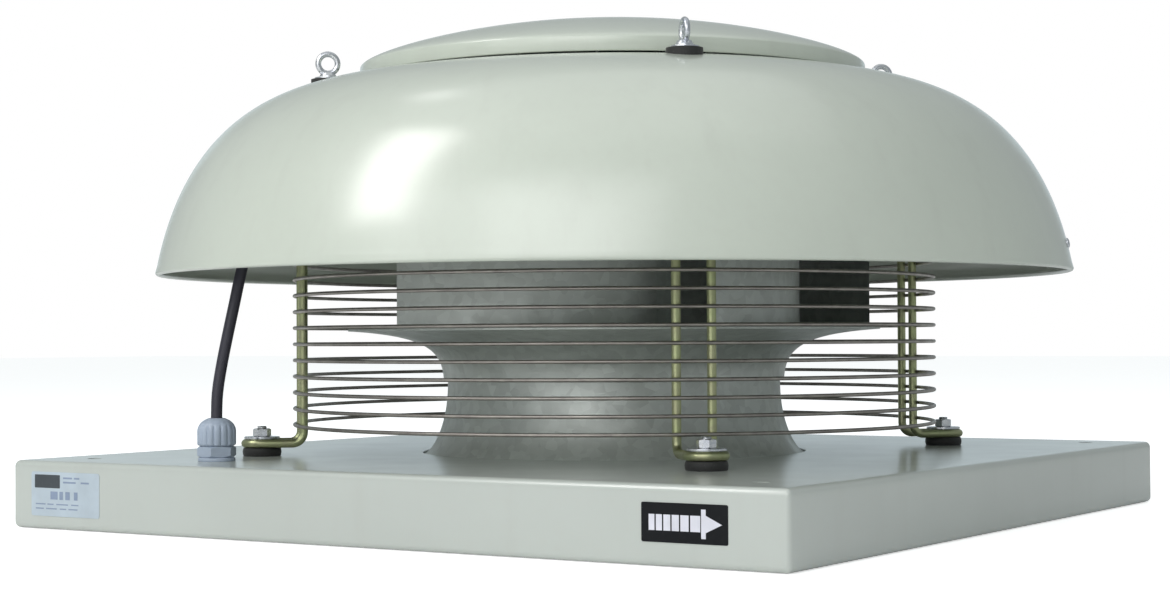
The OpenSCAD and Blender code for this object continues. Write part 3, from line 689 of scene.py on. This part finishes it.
def rounded_rectangle(width, height, r):
    """Outline about the origin."""
    steps = 6
    points = []
    for sx, sy, start in ((1, 1, 0), (-1, 1, 90), (-1, -1, 180), (1, -1, 270)):
        points += arc(sx * (width / 2 - r), sy * (height / 2 - r), r, start, start + 90, steps)
    return points


def slab(outline, thickness, ease=0.0):
    """An outline in x, y given a thickness along z, its upper edge eased."""
    rows = [[(x, y, 0) for x, y in outline]]
    if ease:
        middle = sum((Vector(p) for p in outline), Vector((0, 0))) / len(outline)
        rows.append([(x, y, thickness - ease) for x, y in outline])
        inner = []
        for p in outline:
            away = Vector(p) - middle
            q = Vector(p) - away.normalized() * ease
            inner.append((q.x, q.y, thickness))
        rows.append(inner)
    else:
        rows.append([(x, y, thickness) for x, y in outline])
    return grid(rows, caps=True)


def ball(radius, squash):
    """A bead, flattened along Z."""
    segments = 12
    rows = 6
    profile = []
    for i in range(rows + 1):
        a = math.pi * i / rows - math.pi / 2
        r = radius * math.cos(a) if 0 < i < rows else 0.0
        profile.append((r, radius * squash * math.sin(a)))
    return lathe(profile, segments)


# ---------------------------------------------------------------- base and nozzle

def square_ring(inset, z, corner_r):
    """Points of a square with rounded corners, counted the same way at every inset."""
    corner_steps = 6
    side_steps = 12
    half = HALF_SIDE - inset
    r = max(corner_r - inset, 0.6)
    points = []
    for q in range(4):
        turn = Matrix.Rotation(q * TAU / 4, 2)
        for i in range(side_steps):
            y = (half - r) * (2 * i / side_steps - 1)
            points.append(turn @ Vector((half, y)))
        for i in range(corner_steps):
            a = TAU / 4 * i / corner_steps
            points.append(turn @ Vector((half - r + r * math.cos(a), half - r + r * math.sin(a))))
    return [(p.x, p.y, z) for p in points]


def flat_ring(r, z, like):
    """A circle whose points face those of a square ring."""
    out = []
    for x, y, _ in like:
        a = math.atan2(y, x)
        out.append((r * math.cos(a), r * math.sin(a), z))
    return out


def cut_holes(obj, holes):
    """Drills round holes, each an x, y and radius, through the base's top."""
    low = PLATE_UNDER - 3
    high = SKIRT_H + 3
    drill = Shape()
    for x, y, r in holes:
        profile = [(0, low), (r, low), (r, high), (0, high)]
        drill.add(lathe(profile, 40), at(x, y))
    mesh = bpy.data.meshes.new("drill")
    mesh.from_pydata([v * MM for v in drill.verts], [], drill.faces)
    tool = bpy.data.objects.new("drill", mesh)
    bpy.context.scene.collection.objects.link(tool)
    cut = obj.modifiers.new("holes", "BOOLEAN")
    cut.operation = "DIFFERENCE"
    cut.solver = "EXACT"
    cut.object = tool
    graph = bpy.context.evaluated_depsgraph_get()
    drilled = bpy.data.meshes.new_from_object(obj.evaluated_get(graph))
    obj.modifiers.clear()
    obj.data = drilled
    drilled.set_sharp_from_angle(angle=math.radians(32))
    bpy.data.objects.remove(tool)
    bpy.data.meshes.remove(mesh)


def make_base():
    """Folded tray: top with the nozzle's opening, four skirts, a lip folded in at the bottom."""
    fold = 5
    hem = 4.6
    corner = 3.5
    lip = 14
    hole_r = 162.5
    curb_hole = 305
    curb_hole_r = 6
    shape = Shape()
    profile = [(lip, 0), (lip - 4, 0)]
    profile += arc(hem, hem, hem, 270, 180, 5)
    profile += [(0, 14), (0, 30), (0, SKIRT_H - fold - 3)]
    profile += arc(fold, SKIRT_H - fold, fold, 180, 90, 8)
    profile += [(8, SKIRT_H), (30, SKIRT_H)]
    under = [(30, PLATE_UNDER), (8, PLATE_UNDER)]
    under += arc(fold, SKIRT_H - fold, fold - SHEET, 90, 180, 5)
    under += [(SHEET, 30), (SHEET, 14)]
    under += arc(hem, hem, hem - SHEET, 180, 270, 4)
    under += [(lip - 4, SHEET), (lip, SHEET)]
    rows = [square_ring(d, z, corner) for d, z in profile]
    outer = rows[-1]
    for z, radii in ((SKIRT_H, (240, 200, hole_r + 0.6)), (SKIRT_H - 0.6, (hole_r,))):
        rows += [flat_ring(r, z, outer) for r in radii]
    for z, radii in ((PLATE_UNDER + 0.6, (hole_r,)), (PLATE_UNDER, (hole_r + 0.6, 200, 240))):
        rows += [flat_ring(r, z, outer) for r in radii]
    rows += [square_ring(d, z, corner) for d, z in under]
    shape.add(grid(rows, wrap_rows=True))
    tray = shape.piece("base_tray", "base_paint", "housing", "base_plate", sharp=28)
    cut_holes(tray, [(sx * curb_hole, sy * curb_hole, curb_hole_r) for sx in (-1, 1) for sy in (-1, 1)])


def make_nozzle():
    """Bell mouth: flange under the base, quarter of an ellipse up to the throat, curled edge."""
    centre_r = 171
    throat_z = 112
    width = 30
    height = 64
    wide = width + THIN_SHEET
    high = height + THIN_SHEET
    count = 28
    last = math.radians(69.64)
    outer = []
    inner = []
    for i in range(count + 1):
        a = last * (1 - i / count)
        outer.append((centre_r - width * math.cos(a), throat_z - height * math.sin(a)))
        inner.append((centre_r - wide * math.cos(a), throat_z - high * math.sin(a)))
    top = throat_z + 10
    profile = [(195, 50.8), (194.7, 52), (165, 52)]
    profile += outer
    profile += [(141, 118), (141.2, top - 0.4), (140.6, top), (139.8, top - 0.2), (139.5, 118)]
    profile += inner[::-1]
    profile += [(165, 50.5), (194.6, 50.5)]
    shape = Shape()
    shape.add(lathe(profile, 160, closed=True))
    shape.piece("bell_nozzle", "galvanised", "housing", "inlet_nozzle", sharp=40)


def make_studs():
    """Weld studs for the nozzle and the lid, with their nuts."""
    count = 8
    low_z = 38
    nut_z = 45.5
    lid_low_z = 354.5
    lid_nut_z = 357.5
    lid_high_z = bezier(LID_CURVE, curve_time(LID_CURVE, SPACER_R)).y - 3.2
    studs = Shape()
    nuts = Shape()
    for k in range(count):
        turn = TAU * (k + 0.5) / count
        studs.add(threaded(M6, low_z, PLATE_UNDER), at(NOZZLE_STUD_R, turn=turn))
        nuts.add(hexagonal(*M6_NUT), at(NOZZLE_STUD_R, z=nut_z, turn=turn))
    for turn in CORNERS:
        studs.add(threaded(M6, lid_low_z, lid_high_z), at(SPACER_R, turn=turn))
        nuts.add(hexagonal(*M6_NUT), at(SPACER_R, z=lid_nut_z, turn=turn))
    studs.piece("weld_stud_set", "zinc", "housing", "weld_studs")
    nuts.piece("small_nuts", "zinc", "housing", "m6_nuts", sharp=22)


# ---------------------------------------------------------------- feet, legs and guard

def make_feet():
    """Pads, bolts and washers of the feet, and every large nut of the fan's frame."""
    across, nut_h, _ = M8_NUT
    head_h = 5.3
    washer_top = ROD_TOP + 2
    bolt_top = 78.5
    pad = [(4.2, SKIRT_H), (15.2, SKIRT_H), (15.6, SKIRT_H + 1.6), (15.9, SKIRT_H + 3.5)]
    pad += [(15.6, PAD_TOP - 1.6), (14.9, PAD_TOP), (4.2, PAD_TOP)]
    washer = [(4.3, ROD_TOP), (14.5, ROD_TOP), (14.5, washer_top), (4.3, washer_top)]
    pads = Shape()
    bolts = Shape()
    washers = Shape()
    nuts = Shape()
    for turn in CORNERS:
        pads.add(lathe(soft(pad, 0.8, True), 64, closed=True), at(FOOT_R, turn=turn))
        washers.add(lathe(soft(washer, 0.5, True), 64, closed=True), at(FOOT_R, turn=turn))
        bolts.add(hexagonal(across, head_h), at(FOOT_R, z=PLATE_UNDER - head_h, turn=turn))
        bolts.add(threaded(M8, PLATE_UNDER - 1, bolt_top), at(FOOT_R, turn=turn))
        nuts.add(hexagonal(*M8_NUT), at(FOOT_R, z=washer_top, turn=turn))
        for side in (-HALF_GAP, HALF_GAP):
            for z in (PLATE_Z - nut_h, PLATE_TOP):
                nuts.add(hexagonal(*M8_NUT), at(LEG_R, side, z, turn))
        nuts.add(hexagonal(*M8_NUT), at(EYEBOLT_R, z=PLATE_Z - nut_h, turn=turn))
    pads.piece("rubber_pads", "black_rubber", "housing", "foot_pads")
    washers.piece("clamp_washers", "zinc", "housing", "foot_washers")
    bolts.piece("foot_bolt_set", "zinc", "housing", "foot_bolts", sharp=22)
    nuts.piece("large_nuts", "zinc", "housing", "m8_nuts", sharp=22)


def leg_path():
    """The hairpin's centre line, from one upright's thread round the foot to the other's."""
    up = [(LEG_R, HALF_GAP, z) for z in (PLATE_Z - 14, 200, 140, 90, 76)]
    for i in range(9):
        a = TAU / 4 * i / 8
        up.append((
            LEG_R + BEND_R - BEND_R * math.cos(a), HALF_GAP, ROD_Z + BEND_R - BEND_R * math.sin(a)
        ))
    up.append((LEG_R + BEND_R + 6, HALF_GAP, ROD_Z))
    up.append((FOOT_R - 6, HALF_GAP, ROD_Z))
    round_bolt = [(x, y, ROD_Z) for x, y in arc(FOOT_R, 0, HALF_GAP, 90, -90, 16)]
    return up + round_bolt + [(x, -y, z) for x, y, z in up[::-1]]


def make_legs():
    """Four hairpins of rod, each with two threaded ends through the motor plate."""
    rod = sweep(leg_path(), ROD_R, 20)
    for name, turn in zip(("front_left", "front_right", "rear_right", "rear_left"), CORNERS):
        shape = Shape()
        shape.add(rod, at(turn=turn))
        for side in (-HALF_GAP, HALF_GAP):
            shape.add(threaded(M8, PLATE_Z - 14, PLATE_TOP + 12), at(LEG_R, side, turn=turn))
        shape.piece("hairpin_" + name, "yellow_zinc", "housing", "leg_" + name)


def make_guard():
    """Wire rings, spot welded to the uprights. Each is butt welded at the back, a little apart."""
    wires = 13
    first_z = 78.5
    pitch = 13.4
    wire_r = 1.5
    ring_r = math.hypot(LEG_R, HALF_GAP) + ROD_R + wire_r + 0.1
    spread = math.atan2(HALF_GAP, LEG_R)
    nugget = ball(1.9, 0.75)
    joint = ball(2.0, 0.85)
    shape = Shape()
    for i in range(wires):
        z = first_z + pitch * i
        outline = arc(ring_r, z, wire_r, 0, 360, 14)[:-1]
        shape.add(lathe(outline, 200, closed=True))
        for turn in CORNERS:
            for side in (-spread, spread):
                shape.add(nugget, at(ring_r - wire_r, z=z, turn=turn + side))
        shape.add(joint, at(ring_r, z=z, turn=math.radians(100 + i * 3)))
    shape.piece("wire_guard", "guard_wire", "housing", "guard_rings")


# ---------------------------------------------------------------- wheel

def blade_mesh(overlap):
    """One backward-swept blade: a spiral sheet that overlaps the shroud and the back plate."""
    count = 28
    tall = 8
    half_t = THIN_SHEET / 2
    shroud = sheet_curve(SHROUD_CURVE, THIN_SHEET, 60)

    def floor_at(r):
        """Height of the shroud's inner face."""
        for (r0, z0), (r1, z1) in zip(shroud, shroud[1:]):
            if r0 <= r <= r1:
                return z0 + (z1 - z0) * (r - r0) / (r1 - r0)
        return shroud[0][1] if r < shroud[0][0] else shroud[-1][1]

    def section(r, offset):
        """A point of the spiral, moved across the sheet by offset."""
        a = BLADE_START + math.log(BLADE_TIP_R / r) / math.tan(BLADE_ANGLE)
        along = a + BLADE_ANGLE
        across = Vector((math.sin(along), -math.cos(along)))
        return Vector((r * math.cos(a), r * math.sin(a))) - offset * across

    radii = [BLADE_ROOT_R + (BLADE_TIP_R - BLADE_ROOT_R) * i / count for i in range(count + 1)]
    outline = [section(r, half_t) for r in radii] + [section(r, -half_t) for r in radii[::-1]]
    rows = []
    for k in range(tall + 1):
        loop = []
        for p in outline:
            low = floor_at(p.length) - overlap
            loop.append((p.x, p.y, low + (BACK_Z + overlap - low) * k / tall))
        rows.append(loop)
    return grid(rows, caps=True)


def make_wheel():
    """Shroud, blades, back plate and hub, with the rivets and the bolt that hold them."""
    shroud = Shape()
    outer = sheet_curve(SHROUD_CURVE, 0, 40)
    inner = sheet_curve(SHROUD_CURVE, THIN_SHEET, 40)
    tip = [(WHEEL_R, 157.1)]
    eye = [(143.6, 114.7)]
    shroud.add(lathe(outer + tip + inner[::-1] + eye, 160, closed=True))
    shroud.piece("wheel_shroud", "galvanised", "wheel", "impeller_shroud", sharp=50)

    blades = Shape()
    blade = blade_mesh(overlap=0.2)
    for k in range(BLADES):
        blades.add(blade, at(turn=TAU * k / BLADES))
    blades.piece("wheel_blades", "galvanised", "wheel", "impeller_blades")

    back = Shape()
    disc = [(10.5, BACK_Z), (WHEEL_R, BACK_Z), (WHEEL_R, BACK_TOP), (10.5, BACK_TOP)]
    back.add(lathe(soft(disc, 0.7, True), 160, closed=True))
    back.piece("wheel_back_plate", "galvanised", "wheel", "impeller_back_plate")

    hub = Shape()
    boss = [(9.5, 206), (24, 206), (24.6, 236), (55, 240), (55, BACK_Z), (9.5, BACK_Z)]
    hub.add(lathe(soft(boss, 3, True, 5), 96, closed=True))
    hub.piece("wheel_hub", "cast_aluminium", "wheel", "impeller_hub", sharp=40)

    rivets = Shape()
    count = 6
    flange_z = BACK_Z - 6
    shank = lathe([(0, flange_z), (2.5, flange_z), (2.5, BACK_TOP), (0, BACK_TOP)], 16)
    for k in range(count):
        turn = TAU * (k + 0.5) / count
        for z, up in ((flange_z, -1), (BACK_TOP, 1)):
            head = [(0, 0), (4.5, 0), (4.2, up * 0.9), (3.2, up * 1.6), (1.7, up * 1.95), (0, up * 2)]
            rivets.add(lathe(head, 24), at(RIVET_R, z=z, turn=turn))
        rivets.add(shank, at(RIVET_R, turn=turn))
    rivets.piece("hub_rivet_set", "zinc", "wheel", "hub_rivets")

    bolt = Shape()
    hub_z = 206
    washer_z = hub_z - 3
    head_h = 4
    disc = [(0, washer_z), (15, washer_z), (15, hub_z), (0, hub_z)]
    bolt.add(lathe(soft(disc, 0.6), 48))
    bolt.add(hexagonal(M6_NUT[0], head_h), at(z=washer_z - head_h))
    bolt.add(threaded(M6, hub_z - 1, hub_z + 15))
    bolt.piece("shaft_end_bolt", "zinc", "wheel", "hub_end_bolt", sharp=22)


# ---------------------------------------------------------------- dome and lid

def make_dome():
    """Spun shell: rolled rim, one smooth curve up to the flat crown, short neck around its opening."""
    vent_r = 165
    crown_z = DOME_CURVE[-1][1]
    lip_z = crown_z + 7
    crown_r = 185
    bead_r = 2.5
    rim_r, rim_z = DOME_CURVE[0]
    outer = sheet_curve(DOME_CURVE, 0, 110, 0.02)
    inner = sheet_curve(DOME_CURVE, SHEET, 110, 0.03)
    rim = arc(rim_r - bead_r, rim_z + bead_r, bead_r, 0, -215, 14)
    neck = [(crown_r, crown_z), (vent_r + 3.5, crown_z), (vent_r + 2.4, crown_z + 0.5)]
    neck += [(vent_r + SHEET, crown_z + 1.4), (vent_r + SHEET, lip_z - 0.4), (vent_r + 1.6, lip_z)]
    neck += [(vent_r + 0.4, lip_z), (vent_r, lip_z - 0.4), (vent_r, crown_z - 1.4)]
    neck += [(vent_r + 0.6, crown_z - SHEET), (crown_r, crown_z - SHEET)]
    shape = Shape()
    shape.add(lathe(rim[::-1] + outer + neck + inner[::-1], 224, closed=True))
    shape.piece("dome_shell", "dome_paint", "housing", "dome_cowl", sharp=60)


def make_lid():
    """Shallow spun lid with a turned-down edge."""
    lid_r, top_z = LID_CURVE[0]
    low_z = top_z - 11
    outer = sheet_curve(LID_CURVE, 0, 70)
    inner = sheet_curve(LID_CURVE, SHEET, 70, 0.02)
    edge = [(lid_r - SHEET, top_z - 1), (lid_r - SHEET, low_z + 0.8), (lid_r - 1.6, low_z + 0.2)]
    edge += [(lid_r - 1, low_z), (lid_r - 0.3, low_z + 0.3), (lid_r, low_z + 0.9)]
    inner[-1] = (0.0, inner[-1][1])
    outer[-1] = (0.0, outer[-1][1])
    shape = Shape()
    shape.add(lathe(inner[::-1] + edge + outer, 192))
    shape.piece("lid_shell", "dome_paint", "housing", "vent_lid", sharp=60)


def make_dome_fixings():
    """Washers and eye bolts on the dome, and the rivet near the rim."""
    washer_z = 365
    collar_z = washer_z + 1.6
    loop_r = 8
    wire_r = 2.4
    loop_z = collar_z + loop_r + wire_r + 1.1
    thread_z = PLATE_Z + 8
    washer = [(4.3, washer_z), (11, washer_z), (11, collar_z), (4.3, collar_z)]
    collar = [(0, 0), (7, 0), (7, 1.3), (6.2, 2.6), (5.6, 3.6), (4.6, 4.4), (0, 4.8)]
    shank = [(0, thread_z), (4, thread_z), (4, collar_z + 0.5), (0, collar_z + 0.5)]
    ring = lathe(arc(loop_r, 0, wire_r, 0, 360, 20)[:-1], 64, closed=True)
    upright = Matrix.Rotation(TAU / 4, 4, "X")
    washers = Shape()
    eyes = Shape()
    for turn in CORNERS:
        washers.add(lathe(soft(washer, 0.4, True), 48, closed=True), at(EYEBOLT_R, turn=turn))
        eyes.add(lathe(soft(collar, 0.5), 40), at(EYEBOLT_R, z=collar_z, turn=turn))
        eyes.add(ring, at(EYEBOLT_R, z=loop_z, turn=turn) @ upright)
        eyes.add(lathe(shank, 24), at(EYEBOLT_R, turn=turn))
        eyes.add(threaded(M8, PLATE_Z - 10, thread_z + 0.2), at(EYEBOLT_R, turn=turn))
    washers.piece("collar_washers", "zinc", "housing", "dome_washers")
    eyes.piece("eye_bolts", "zinc", "housing", "lifting_eyes")

    rivet = Shape()
    head = [(0, 0.35), (4.2, 0.35), (4.1, 0.9), (3.3, 1.6), (1.9, 2.0), (1.2, 1.7), (0, 1.6)]
    shank = [(0, -4.8), (3.2, -4.8), (3.2, -2.8), (2, -2.8), (2, 0.6), (0, 0.6)]
    lean = at(378.4, z=224, turn=math.radians(17)) @ Matrix.Rotation(math.radians(78), 4, "Y")
    rivet.add(lathe(head, 32), lean)
    rivet.add(lathe(shank, 24), lean)
    rivet.piece("rim_rivet", "zinc", "housing", "dome_rivet")


# ---------------------------------------------------------------- cable and gland

def cable_point(i):
    """A point of the route in the fan's own frame. The end points repeat beyond the ends."""
    r, side, z = CABLE_ROUTE[min(max(i, 0), len(CABLE_ROUTE) - 1)]
    c = math.cos(GLAND_TURN)
    s = math.sin(GLAND_TURN)
    return Vector((r * c - side * s, r * s + side * c, z))


def cable_at(u):
    """Smooth curve through the route's points."""
    i = min(int(u), len(CABLE_ROUTE) - 2)
    t = u - i
    a, b, c, d = (cable_point(i + k) for k in (-1, 0, 1, 2))
    bend = (a * 2 - b * 5 + c * 4 - d) * t ** 2 + (b * 3 - a - c * 3 + d) * t ** 3
    return (b * 2 + (c - a) * t + bend) / 2


def make_cable():
    """The motor's cable, from below the base up to the terminal box."""
    spans = len(CABLE_ROUTE) - 1
    steps = 180
    path = [cable_at(spans * k / steps) for k in range(steps + 1)]
    cable = Shape()
    cable.add(sweep(path, CABLE_R, 24, shrink_ends=0.6))
    cable.piece("supply_cable", "cable_sheath", "housing", "motor_cable")


def ribbed_nut(out_r, bore, ribs, height):
    """A gland's dome nut: gripping ribs below, a smooth shoulder and a lip round the cable."""
    segments = ribs * 6
    profile = [
        (bore, 0.4), (out_r * 0.9, 0), (out_r, 1.0), (out_r, height * 0.30), (out_r, height * 0.55),
        (out_r * 0.97, height * 0.66), (out_r * 0.86, height * 0.80), (out_r * 0.68, height * 0.91),
        (out_r * 0.5, height * 0.97), (bore + 1.2, height), (bore, height - 0.6),
    ]
    profile = soft(profile, 1.2, True)
    rows = []
    for r, z in profile:
        depth = 0.07 if r > out_r * 0.93 else 0.02 if r > out_r * 0.7 else 0.0
        row = []
        for k in range(segments):
            a = TAU * k / segments
            groove = depth * max(0.0, math.cos(ribs * a)) ** 2
            row.append((r * (1 - groove) * math.cos(a), r * (1 - groove) * math.sin(a), z))
        rows.append(row)
    return grid(rows, wrap_rows=True)


def make_gland():
    """The cable's gland in the base, with its lock nut and the ends of the cable's cores."""
    bore = 4.7
    hex_z = 57
    hex_h = 9
    lock_h = 5
    place = at(GLAND_R, turn=GLAND_TURN)

    body = Shape()
    shank = [(bore, 40), (10, 40), (10, SKIRT_H - 0.1), (bore, SKIRT_H - 0.1)]
    body.add(lathe(soft(shank, 0.5, True), 48, closed=True), place)
    flange = [(bore, SKIRT_H), (14.6, SKIRT_H), (14.6, 56.5), (13, 57.2), (bore, 57.2)]
    body.add(lathe(soft(flange, 0.5, True), 64, closed=True), place)
    body.add(hexagonal(GLAND_ACROSS, hex_h, bore), place @ at(z=hex_z))
    body.piece("gland_base", "gland_plastic", "housing", "cable_gland", sharp=25)

    nut = Shape()
    nut.add(ribbed_nut(15.2, 4.75, 16, 22), place @ at(z=hex_z + hex_h))
    nut.piece("gland_dome_nut", "gland_plastic", "housing", "cable_gland_nut", sharp=50)

    lock = Shape()
    lock.add(hexagonal(GLAND_ACROSS, lock_h, 9.9), place @ at(z=PLATE_UNDER - lock_h))
    lock.piece("gland_lock_nut", "gland_plastic", "housing", "cable_gland_locknut", sharp=25)

    cores = Shape()
    core = lathe(soft([(0, 16), (1.4, 16), (1.4, 24), (0, 24)], 0.2), 20)
    ferrule = lathe(soft([(0, 8), (1.0, 8), (1.1, 15.4), (1.4, 16.2), (0, 16.2)], 0.2), 20)
    for k in range(3):
        spot = place @ at(2.2, turn=TAU * k / 3)
        cores.add(core, spot)
        cores.add(ferrule, spot, mark=1)
    end = lathe(soft([(0, 0), (1.3, 0), (1.3, 12), (0, 12)], 0.2), 20)
    for y in (-3, 0, 3):
        cores.add(end, at(102, y, 312, GLAND_TURN) @ Matrix.Rotation(TAU / 4, 4, "Y"))
    cores.piece("core_ends", "copper", "housing", "cable_cores", extra=(MATERIALS["zinc"],))


# ---------------------------------------------------------------- labels

def label_frame(x, z):
    """Stands a flat outline on the front skirt, facing out, its middle at x and z."""
    return Matrix.Translation((x, -HALF_SIDE, z)) @ Matrix.Rotation(TAU / 4, 4, "X")


def bar(width, height, x, y):
    """Outline of an upright rectangle about x and y."""
    sides = ((-1, -1), (1, -1), (1, 1), (-1, 1))
    return [(x + dx * width / 2, y + dy * height / 2) for dx, dy in sides]


def make_labels():
    """A direction arrow, and a rating plate whose marks are plain blocks and dashes."""
    film = 0.42
    print_low = 0.36
    ink = 0.12
    lift = Matrix.Translation((0, 0, print_low))

    arrow = Shape()
    place = label_frame(273, 29)
    arrow.add(slab(rounded_rectangle(65, 26, 1.2), film, 0.1), place)
    raised = place @ lift
    stripes = [(4.4, -24.5), (4.6, -18.9), (5.2, -12.9), (5.4, -6.5), (6.2, 0.4), (7.4, 8.4)]
    for width, x in stripes:
        arrow.add(slab(bar(width, 10.5, x, 0), ink), raised, mark=1)
    head = [(12.8, -9.5), (16.2, -9.5), (16.2, -5.6), (28.2, 0), (16.2, 5.6), (16.2, 9.5), (12.8, 9.5)]
    arrow.add(slab(head, ink), raised, mark=1)
    arrow.piece("arrow_sticker", "label_black", "housing", "arrow_label", extra=(PRINT_WHITE,))

    rating = Shape()
    place = label_frame(-291.5, 28)
    rating.add(slab(rounded_rectangle(75, 35, 2), film, 0.1), place)
    raised = place @ lift
    rating.add(slab(rounded_rectangle(28, 10.5, 0.6), ink), raised @ at(-19.5, 10), mark=1)
    for width, height, x, y in (
        (10, 1.4, 3, 13), (6, 1.4, 13, 13), (14, 1.4, 5, 9.6), (9, 1.4, 22, 9.6),
        (8, 6.4, -12, -1), (4, 6.4, -4, -1), (5, 6.4, 3, -1), (4, 6.4, 12, -1),
        (11, 1.0, -27, -8), (7, 1.0, -16, -8), (13, 1.0, -3, -8), (8, 1.0, 11, -8),
        (9, 1.0, -28, -11.5), (12, 1.0, -15, -11.5), (7, 1.0, -2, -11.5), (10, 1.0, 9, -11.5),
    ):
        rating.add(slab(bar(width, height, x, y), ink), raised, mark=2)
    rating.piece(
        "rating_sticker", "label_blue", "housing", "rating_plate", extra=(PRINT_DARK, PRINT_BLUE)
    )


def paint_cad_nodes():
    """Gives every CAD node the finish of its slot. Those that a piece replaces aren't shown."""
    for part in frame["record"]["subparts"]:
        node = frame["nodes"][part["node"]]
        material = MATERIALS[part["material_slot"]]
        if not node.material_slots:
            node.data.materials.append(material)
        for holder in node.material_slots:
            holder.material = material


make_camera()
make_world(seen=(1.0, 1.0, 1.0), lighting=(0.345, 0.375, 0.38))
make_floor()
softbox(
    "key", azimuth=-123, elevation=43, distance=3.2, width=0.8, height=1.9, power=30,
    color=(1.0, 0.99, 0.97), spin=18,
)
softbox("fill", azimuth=-86, elevation=20, distance=3.6, width=3.6, height=2.6, power=30)
softbox("front", azimuth=-68, elevation=30, distance=3.6, width=2.4, height=2.0, power=19)
softbox("top", azimuth=60, elevation=86, distance=3.4, width=3.6, height=3.6, power=14)
softbox("left", azimuth=175, elevation=62, distance=3.4, width=0.35, height=0.35, power=1)
softbox(
    "back", azimuth=122, elevation=9, distance=3.2, width=3.4, height=1.0, power=4,
    color=(0.72, 0.9, 1.0),
)
paint_cad_nodes()
make_base()
make_nozzle()
make_studs()
make_feet()
make_legs()
make_guard()
make_wheel()
make_dome()
make_lid()
make_dome_fixings()
make_cable()
make_gland()
make_labels()
bpy.context.scene.view_settings.view_transform = "Standard"


def corners(box):
    return [list(map(float, corner)) for corner in box]
